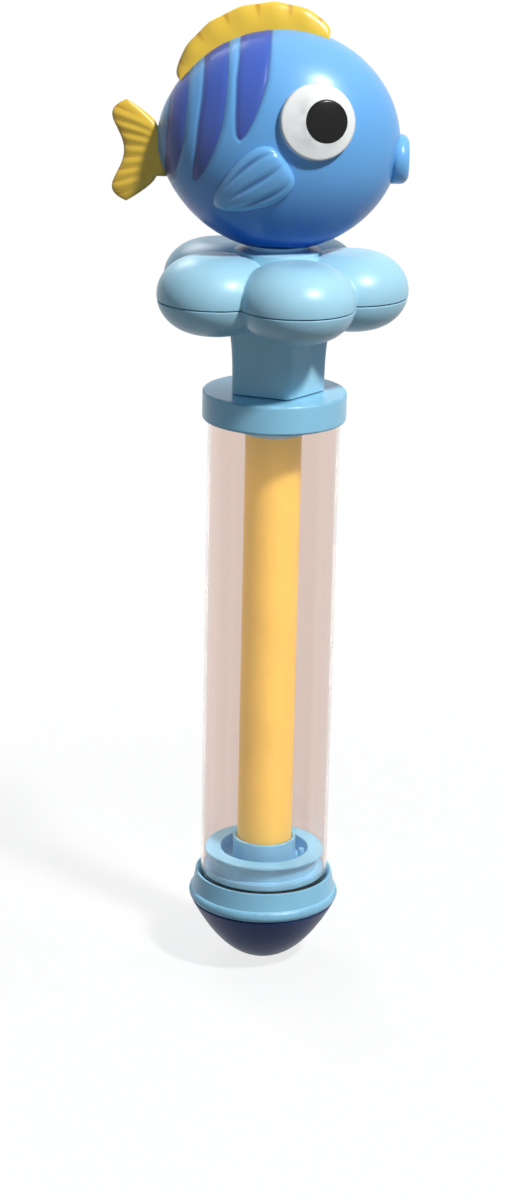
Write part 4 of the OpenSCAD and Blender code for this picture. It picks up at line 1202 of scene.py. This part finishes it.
class SQUIRTER_OT_fins(bpy.types.Operator):
    """Makes the dorsal, tail and side fins"""

    bl_idname = "squirter.fins"
    bl_label = "Fins"
    bl_options = {"REGISTER", "UNDO"}

    # Points along a fin and up one of its sides
    ALONG = 240
    ACROSS = 24
    # Forms of the fins. Counts: rays and grooves. Shares: depth of a ray, groove, scallop or notch, edge's
    # thickness, ends' height, loss at the tips, place on the flank. Powers: lean of the crest, flare, round
    # of the tips or the leaf, reach of the grooves, and narrowness of the painted shade lines in the grooves
    DORSAL = {"rays": 6, "ray": 0.2, "scallop": 0.05, "edge": 0.45, "foot": 0.06, "lean": 1.15, "line": 6}
    TAIL = {"rays": 8, "ray": 0.26, "notch": 0.35, "edge": 0.4, "tip": 0.4, "flare": 0.7, "round": 6,
            "line": 4}
    SIDE = {"grooves": 3, "groove": 0.24, "x": 0.05, "z": -0.08, "round": 0.55, "reach": 0.8, "line": 8}
    # Powers by which thickness falls to a round edge: at crests, at the tail's ends, across and along a leaf
    CREST_FALL = 10
    END_FALL = 12
    LEAF_FALL = (4, 8)
    # Angle left out at each end of a leaf, where its two sides would meet in one point
    LEAF_END = 0.02
    # Web colours of the shade painted into the grooves
    YELLOW_GROOVE_SHADE = "c98a1c"
    BLUE_GROOVE_SHADE = "2b62a8"

    def execute(self, context):
        scene = context.scene
        self.sizes = scene.squirter_fish
        self.body = Body(self.sizes)
        colours = scene.squirter_colours
        yellow = rayed_fin("Fin yellow", colours.fin_yellow, linear(self.YELLOW_GROOVE_SHADE))
        blue = rayed_fin("Fin blue", colours.side_fin, linear(self.BLUE_GROOVE_SHADE))
        self.dress_fin("dorsal_fin", *self.dorsal(), yellow)
        self.dress_fin("tail_fin", *self.tail(), yellow)
        patch, groove = self.side()
        self.dress_fin("side_fin_right", patch, groove, blue)
        self.dress_fin("side_fin_left", mirrored(patch), groove, blue)
        return {"FINISHED"}

    def dress_fin(self, node, patch, groove, material):
        """Dresses a fin. Its groove depths, which paint shade into the grooves, pass the weld as
        wear-and-shading values, then get their own name.
        """
        piece = dress(node, [patch._replace(wear=groove)], material)
        values = np.empty(len(piece.data.vertices), np.float32)
        piece.data.attributes["wear"].data.foreach_get("value", values)
        set_point_values(piece.data, "groove", values)
        set_point_values(piece.data, "wear", np.zeros(len(values)))

    def ended(self, groove):
        """Groove depths with none in the rows that close a fin's two ends."""
        return np.pad(groove, ((1, 1), (0, 0)))

    def crossing(self):
        """Shares of a fin's rise and side signs, from the right tab over the crest to the left tab."""
        climb = np.sin(np.linspace(0, QUARTER, self.ACROSS))
        rise = np.concatenate([[-1.0], climb, climb[-2::-1], [-1.0]])
        side = np.concatenate([-np.ones(self.ACROSS + 1), np.ones(self.ACROSS)])
        return rise, side

    def dorsal(self):
        """Dorsal fin: round the back it rises as a lean arch, scalloped between rays, and thins upwards."""
        sizes, form = self.sizes, self.DORSAL
        t = np.linspace(0, 1, self.ALONG)[:, None]
        rise, side = self.crossing()
        up, tab = np.clip(rise, 0, None), np.clip(-rise, 0, None)
        arch = np.sin(math.pi * t ** form["lean"]).clip(0) ** form["edge"]
        ray = np.sin(math.pi * form["rays"] * t) ** 2
        crest = arch * (1 - form["scallop"] * ray)
        tall = sizes.dorsal_rise * (form["foot"] + (1 - form["foot"]) * crest)
        a = sizes.dorsal_back + t * (sizes.dorsal_front - sizes.dorsal_back)
        radius = self.body.outline(a) + up * tall - tab * sizes.fin_tab
        thick = (1 - (1 - form["edge"]) * up ** 2) * (1 - form["ray"] * up * ray)
        y = side * sizes.dorsal_thick / 2 * thick * np.sqrt(1 - up ** self.CREST_FALL)
        points = np.stack([radius * np.cos(a), y, radius * np.sin(a)], axis=-1) + self.body.middle
        return Patch(capped(points)), self.ended(ray ** form["line"] * up)

    def tail(self):
        """Tail fin: a fan with a notch and rays, thinning to a round edge."""
        sizes, form = self.sizes, self.TAIL
        v = np.sin(np.linspace(-QUARTER, QUARTER, self.ALONG))[:, None]
        rise, side = self.crossing()
        u, tab = np.clip(rise, 0, None), np.clip(-rise, 0, None)
        span = sizes.tail_length * (1 - form["notch"] * np.cos(QUARTER * v) ** 2)
        span = span * (1 - form["tip"] * np.abs(v) ** form["round"])
        half = sizes.tail_root + (sizes.tail_height - sizes.tail_root) * u ** form["flare"]
        ray = np.sin(QUARTER * form["rays"] * v) ** 2
        thick = (1 - (1 - form["edge"]) * u) * (1 - form["ray"] * u * ray)
        thick = thick * np.sqrt(1 - u ** self.CREST_FALL) * np.sqrt(1 - np.abs(v) ** self.END_FALL)
        x = -self.body.outline(math.pi) - u * span + tab * sizes.fin_tab
        points = np.stack(np.broadcast_arrays(x, side * sizes.tail_thick / 2 * thick, v * half / 2), axis=-1)
        points = points + self.body.middle - np.array([0, 0, sizes.tail_drop])
        return Patch(points), ray ** form["line"] * u

    def side(self):
        """Right side fin: a leaf laid on the flank, crowned, with grooves that run to its tip."""
        sizes, form, body = self.sizes, self.SIDE, self.body
        along = np.linspace(self.LEAF_END, math.pi - self.LEAF_END, self.ALONG // 2)
        u = ((1 - np.cos(along)) / 2)[:, None]
        swing = full_turn(4 * self.ACROSS)
        v, crown = -np.cos(swing), (np.sin(swing) > 0)
        wide = sizes.side_width / 2 * np.sin(math.pi * u ** form["round"]) ** form["round"]
        ahead = heading(sizes.side_heading)
        x = form["x"] * body.half_length + u * sizes.side_length * ahead[0] - v * wide * ahead[1]
        z = form["z"] * body.half_height + u * sizes.side_length * ahead[1] + v * wide * ahead[0]
        line = np.cos(QUARTER * form["grooves"] * v) ** form["line"] * np.sin(math.pi * u ** form["reach"])
        fall_across, fall_along = self.LEAF_FALL
        dome = np.sqrt(1 - np.abs(v) ** fall_across) * np.sqrt(1 - np.abs(2 * u - 1) ** fall_along)
        lift = sizes.side_gap + crown * sizes.side_thick * dome * (1 - form["groove"] * line)
        points = np.stack(np.broadcast_arrays(x, -body.flank(x, z) - lift, z), axis=-1) + body.middle
        return Patch(capped(points)), self.ended(line * crown)


class SQUIRTER_OT_eyes(bpy.types.Operator):
    """Makes the two domed eyes and their pupils"""

    bl_idname = "squirter.eyes"
    bl_label = "Eyes"
    bl_options = {"REGISTER", "UNDO"}

    # Place of an eye as shares of the body's half length and half height, and the pupil's forward shift
    PLACE_SHARES = (0.30, 0.27)
    SHIFT_SHARE = 0.1
    # Shares of the pupil's radius that follow the dome and that round off, the rings of each, and its sides
    PUPIL_FLAT = 0.9
    PUPIL_ROUND = 0.1
    FLAT_RINGS = 24
    ROUND_RINGS = 9
    PUPIL_SIDES = 96

    def execute(self, context):
        scene = context.scene
        self.sizes = scene.squirter_fish
        body = Body(self.sizes)
        x, z = self.PLACE_SHARES[0] * body.half_length, self.PLACE_SHARES[1] * body.half_height
        turn = body.flank_turn(x, z)
        seat = np.array([x, -body.flank(x, z), z]) + body.middle
        radius, dome = self.sizes.eye / 2, self.sizes.eye_dome
        self.ball = (radius ** 2 + dome ** 2) / (2 * dome)
        self.ball_middle = self.sizes.eye_edge + dome - self.ball
        white = moulded("Eye white", scene.squirter_colours.eye, gloss=0.22, cloud=0.02, peel=0.003)
        black = moulded("Pupil black", scene.squirter_colours.pupil, gloss=0.2, Specular_IOR_Level=0.2)
        for name, patch, material in (("eye", self.eye(), white), ("pupil", self.pupil(), black)):
            patch = moved(patch, turn, seat)
            dress(name + "_right", [patch], material)
            dress(name + "_left", [mirrored(patch)], material)
        return {"FINISHED"}

    def eye(self):
        """Turned eye: a shallow dome over a round rim and a flat seat."""
        radius, edge = self.sizes.eye / 2, self.sizes.eye_round
        stop = math.acos((radius - 2 * edge) / self.ball)
        corner = arc_corner((0, self.ball_middle), self.ball, QUARTER, stop)
        end = heading(stop) * self.ball + (0, self.ball_middle)
        rim = end[1] - 2 * edge / math.tan(stop)
        seat = -self.sizes.eye_depth
        corners = [(0, self.ball_middle + self.ball), corner, (radius, rim), (radius, seat), (0, seat)]
        return lathe(rounded(corners, [edge, self.ball, edge, edge / 2, edge], closed=False), closed=False)

    def pupil(self):
        """Pupil: a disc that follows the eye's dome at a small rise, with a round edge."""
        radius, rise = self.sizes.pupil / 2, self.sizes.pupil_rise
        bend = np.sin(np.linspace(0, QUARTER, self.ROUND_RINGS)[1:])
        rings = np.concatenate([np.linspace(0, self.PUPIL_FLAT, self.FLAT_RINGS),
                                self.PUPIL_FLAT + self.PUPIL_ROUND * bend])
        turn = full_turn(self.PUPIL_SIDES)[:, None]
        x = radius * rings * np.cos(turn)
        y = radius * rings * np.sin(turn) + self.SHIFT_SHARE * self.sizes.eye
        dome = self.ball_middle + np.sqrt((self.ball + rise) ** 2 - x ** 2 - y ** 2)
        edge = np.clip((rings - self.PUPIL_FLAT) / self.PUPIL_ROUND, 0, 1)
        top = np.stack([x, y, dome - rise * (1 - np.sqrt(1 - edge ** 2))], axis=-1)
        sunk = top - np.array([0, 0, 2 * rise])
        return Patch(np.concatenate([top, sunk[:, ::-1]], axis=1), 0.0, True, False)


class SQUIRTER_OT_mouth(bpy.types.Operator):
    """Makes the round mouth"""

    bl_idname = "squirter.mouth"
    bl_label = "Mouth"
    bl_options = {"REGISTER", "UNDO"}

    # Height of the mouth's floor, as a share of its lip, and points round the lip
    HOLE_SHARE = 0.55
    LIP_STEPS = 48

    def execute(self, context):
        scene = context.scene
        sizes = scene.squirter_fish
        body = Body(sizes)
        ring, lip = sizes.mouth / 2, sizes.mouth_lip / 2
        floor = self.HOLE_SHARE * sizes.mouth_lip
        swing = np.linspace(math.pi - math.asin((floor - lip) / lip), 0, self.LIP_STEPS)
        round_lip = np.stack([ring + lip * np.cos(swing), lip + lip * np.sin(swing)], axis=-1)
        peg, back = sizes.mouth_peg, -sizes.mouth_peg_length
        behind = [(ring + lip, 0), (peg, 0), (peg, back), (0, back)]
        section = np.concatenate([[(0, floor)], round_lip, behind])
        patch = lathe((section, np.zeros(len(section))), closed=False)
        nose_x, nose_z = body.outline(sizes.mouth_angle) * heading(sizes.mouth_angle)
        nose = np.array([nose_x - sizes.mouth_depth, 0, nose_z]) + body.middle
        forwards = np.array([[0, 0, 1], [0, 1, 0], [-1, 0, 0]])
        blue = moulded("Mouth blue", scene.squirter_colours.side_fin)
        dress("mouth_ring", [moved(patch, forwards, nose)], blue)
        return {"FINISHED"}


class SQUIRTER_OT_inner(bpy.types.Operator):
    """Gives the plug, post, gasket and screws their finishes"""

    bl_idname = "squirter.inner"
    bl_label = "Inner pieces and screws"
    bl_options = {"REGISTER", "UNDO"}

    def execute(self, context):
        scene = context.scene
        colours = scene.squirter_colours
        white = moulded("Inner plastic", colours.inner, gloss=0.45)
        black = rubber("Gasket rubber", colours.rubber)
        steel = plated_steel("Screw steel", colours.steel)
        finishes = {"rod_end_plug": white, "fish_post": white, "nozzle_gasket": black,
                    "handle_screw": steel, "post_screw": steel, "shell_screws": steel}
        for node, material in finishes.items():
            slots = frame["nodes"][node].data.materials
            slots.clear()
            slots.append(material)
        return {"FINISHED"}


class SQUIRTER_OT_stage(bpy.types.Operator):
    """Makes the floor, the lamps and the camera"""

    bl_idname = "squirter.stage"
    bl_label = "Stage"
    bl_options = {"REGISTER", "UNDO"}

    # Point that the lamps face, and each lamp's power setting, place and size, in metres
    AIM = (0.0, 0.0, 0.17)
    LAMPS = (("key", (0.53, -0.53, 1.07), 0.1),
             ("fill", (-0.9, -0.7, 0.35), 0.9),
             ("back", (-0.35, 0.75, 0.95), 0.5))
    # Colours of the floor: two pale ones where it is seen, and one for the light that it throws back
    PALES = ((0.9, 0.9, 0.9), (0.92, 0.92, 0.92))
    DARK = (0.14, 0.14, 0.15)
    # Share of white glow on the floor under the object, and the distances over which it becomes full
    NEAR_GLOW = 0.8
    GLOW_RANGE = (0.04, 0.32)
    # Width of the camera's film in millimetres, and the nearest and farthest that it sees in metres
    FILM_WIDTH = 36.0
    CLIP_RANGE = (0.01, 50.0)

    def execute(self, context):
        scene = context.scene
        stage = scene.squirter_stage
        scene.view_settings.view_transform = "Standard"
        self.floor(stage)
        self.world(scene, stage)
        for setting, place, size in self.LAMPS:
            self.lamp(scene, setting.capitalize() + " lamp", place, size, getattr(stage, setting))
        self.camera(scene, stage)
        return {"FINISHED"}

    def floor(self, stage):
        """Plain pale floor that shows near white and keeps the shadow."""
        reach_out = np.array([-1.0, 1.0]) * stage.floor_reach
        x, y = np.meshgrid(reach_out, reach_out)
        points = np.stack([x, y, np.full_like(x, CAD_BOX[0].z - stage.floor_gap)], axis=-1)
        floor = new_object("floor", points.reshape(-1, 3), np.array([[0, 1, 3, 2]]))
        material, shader, place = new_material("Floor", Roughness=0.9, Specular_IOR_Level=0.1)
        shown = seen(place)
        pale = place.noise(3.0).blend(*map(shade, self.PALES))
        feed(shader, Base_Color=shown.blend(shade(self.DARK), pale))
        far = place.add("ShaderNodeVectorMath", {"operation": "LENGTH"}, {0: place}, out="Value")
        glow = far.smooth(*self.GLOW_RANGE) * (1 - self.NEAR_GLOW) + self.NEAR_GLOW
        mix_in(shader, place.add("ShaderNodeEmission", {}, {}), shown * glow)
        floor.data.materials.append(material)

    def world(self, scene, stage):
        """White where it is seen, and a soft even light elsewhere."""
        scene.world = bpy.data.worlds.new("Studio")
        scene.world.use_nodes = True
        tree = scene.world.node_tree
        light = tree.nodes["Background"]
        shown = seen(Sock(tree, light.outputs[0]))
        white = (1.0, 1.0, 1.0)
        feed(light, Color=shown.blend(shade(stage.ambient_tint), shade(white)),
             Strength=shown * (1 - stage.ambient) + stage.ambient)

    def lamp(self, scene, name, place, size, power):
        """Square soft lamp that faces the object."""
        lamp = bpy.data.lights.new(name, "AREA")
        lamp.energy, lamp.size = power, size
        made = bpy.data.objects.new(name, lamp)
        made.location = place
        made.rotation_euler = (Vector(self.AIM) - Vector(place)).to_track_quat("-Z", "Y").to_euler()
        scene.collection.objects.link(made)

    def camera(self, scene, stage):
        """Camera with the photograph's place, direction, roll and lens."""
        made = bpy.data.objects.new("Camera", bpy.data.cameras.new("Camera"))
        made.data.lens, made.data.sensor_width = stage.lens, self.FILM_WIDTH
        made.data.clip_start, made.data.clip_end = self.CLIP_RANGE
        yaw, level = stage.yaw, math.cos(stage.pitch)
        ahead = Vector((math.sin(yaw) * level, math.cos(yaw) * level, -math.sin(stage.pitch)))
        right = Vector((math.cos(yaw), -math.sin(yaw), 0.0))
        right.rotate(Matrix.Rotation(-stage.roll, 3, ahead))
        up = right.cross(ahead)
        turn = Matrix((right, up, -ahead)).transposed()
        made.matrix_world = Matrix.Translation(stage.camera) @ turn.to_4x4()
        scene.collection.objects.link(made)
        scene.camera = made


PIECES = (SQUIRTER_OT_barrel, SQUIRTER_OT_cap, SQUIRTER_OT_nozzle, SQUIRTER_OT_piston, SQUIRTER_OT_rod,
          SQUIRTER_OT_grip, SQUIRTER_OT_fish_body, SQUIRTER_OT_fins, SQUIRTER_OT_eyes, SQUIRTER_OT_mouth,
          SQUIRTER_OT_inner, SQUIRTER_OT_stage)
GROUPS = {"squirter_barrel": SquirterBarrel, "squirter_grip": SquirterGrip, "squirter_fish": SquirterFish,
          "squirter_colours": SquirterColours, "squirter_stage": SquirterStage}


class SQUIRTER_PT_panel(bpy.types.Panel):
    """Lists the pieces of the squirter and their settings"""

    bl_label = "Water squirter"
    bl_space_type = "VIEW_3D"
    bl_region_type = "UI"
    bl_category = "Squirter"

    def draw(self, context):
        for piece in PIECES:
            self.layout.operator(piece.bl_idname)
        for name, group in GROUPS.items():
            box = self.layout.box()
            for setting in group.__annotations__:
                box.prop(getattr(context.scene, name), setting)


CLASSES = (*GROUPS.values(), *PIECES, SQUIRTER_PT_panel)


def register():
    for cls in CLASSES:
        bpy.utils.register_class(cls)
    for name, group in GROUPS.items():
        setattr(bpy.types.Scene, name, bpy.props.PointerProperty(type=group))


def unregister():
    for name in GROUPS:
        delattr(bpy.types.Scene, name)
    for cls in reversed(CLASSES):
        bpy.utils.unregister_class(cls)


def main():
    register()
    for piece in PIECES:
        getattr(bpy.ops.squirter, piece.bl_idname.partition(".")[2])()


if __name__ == "__main__":
    main()
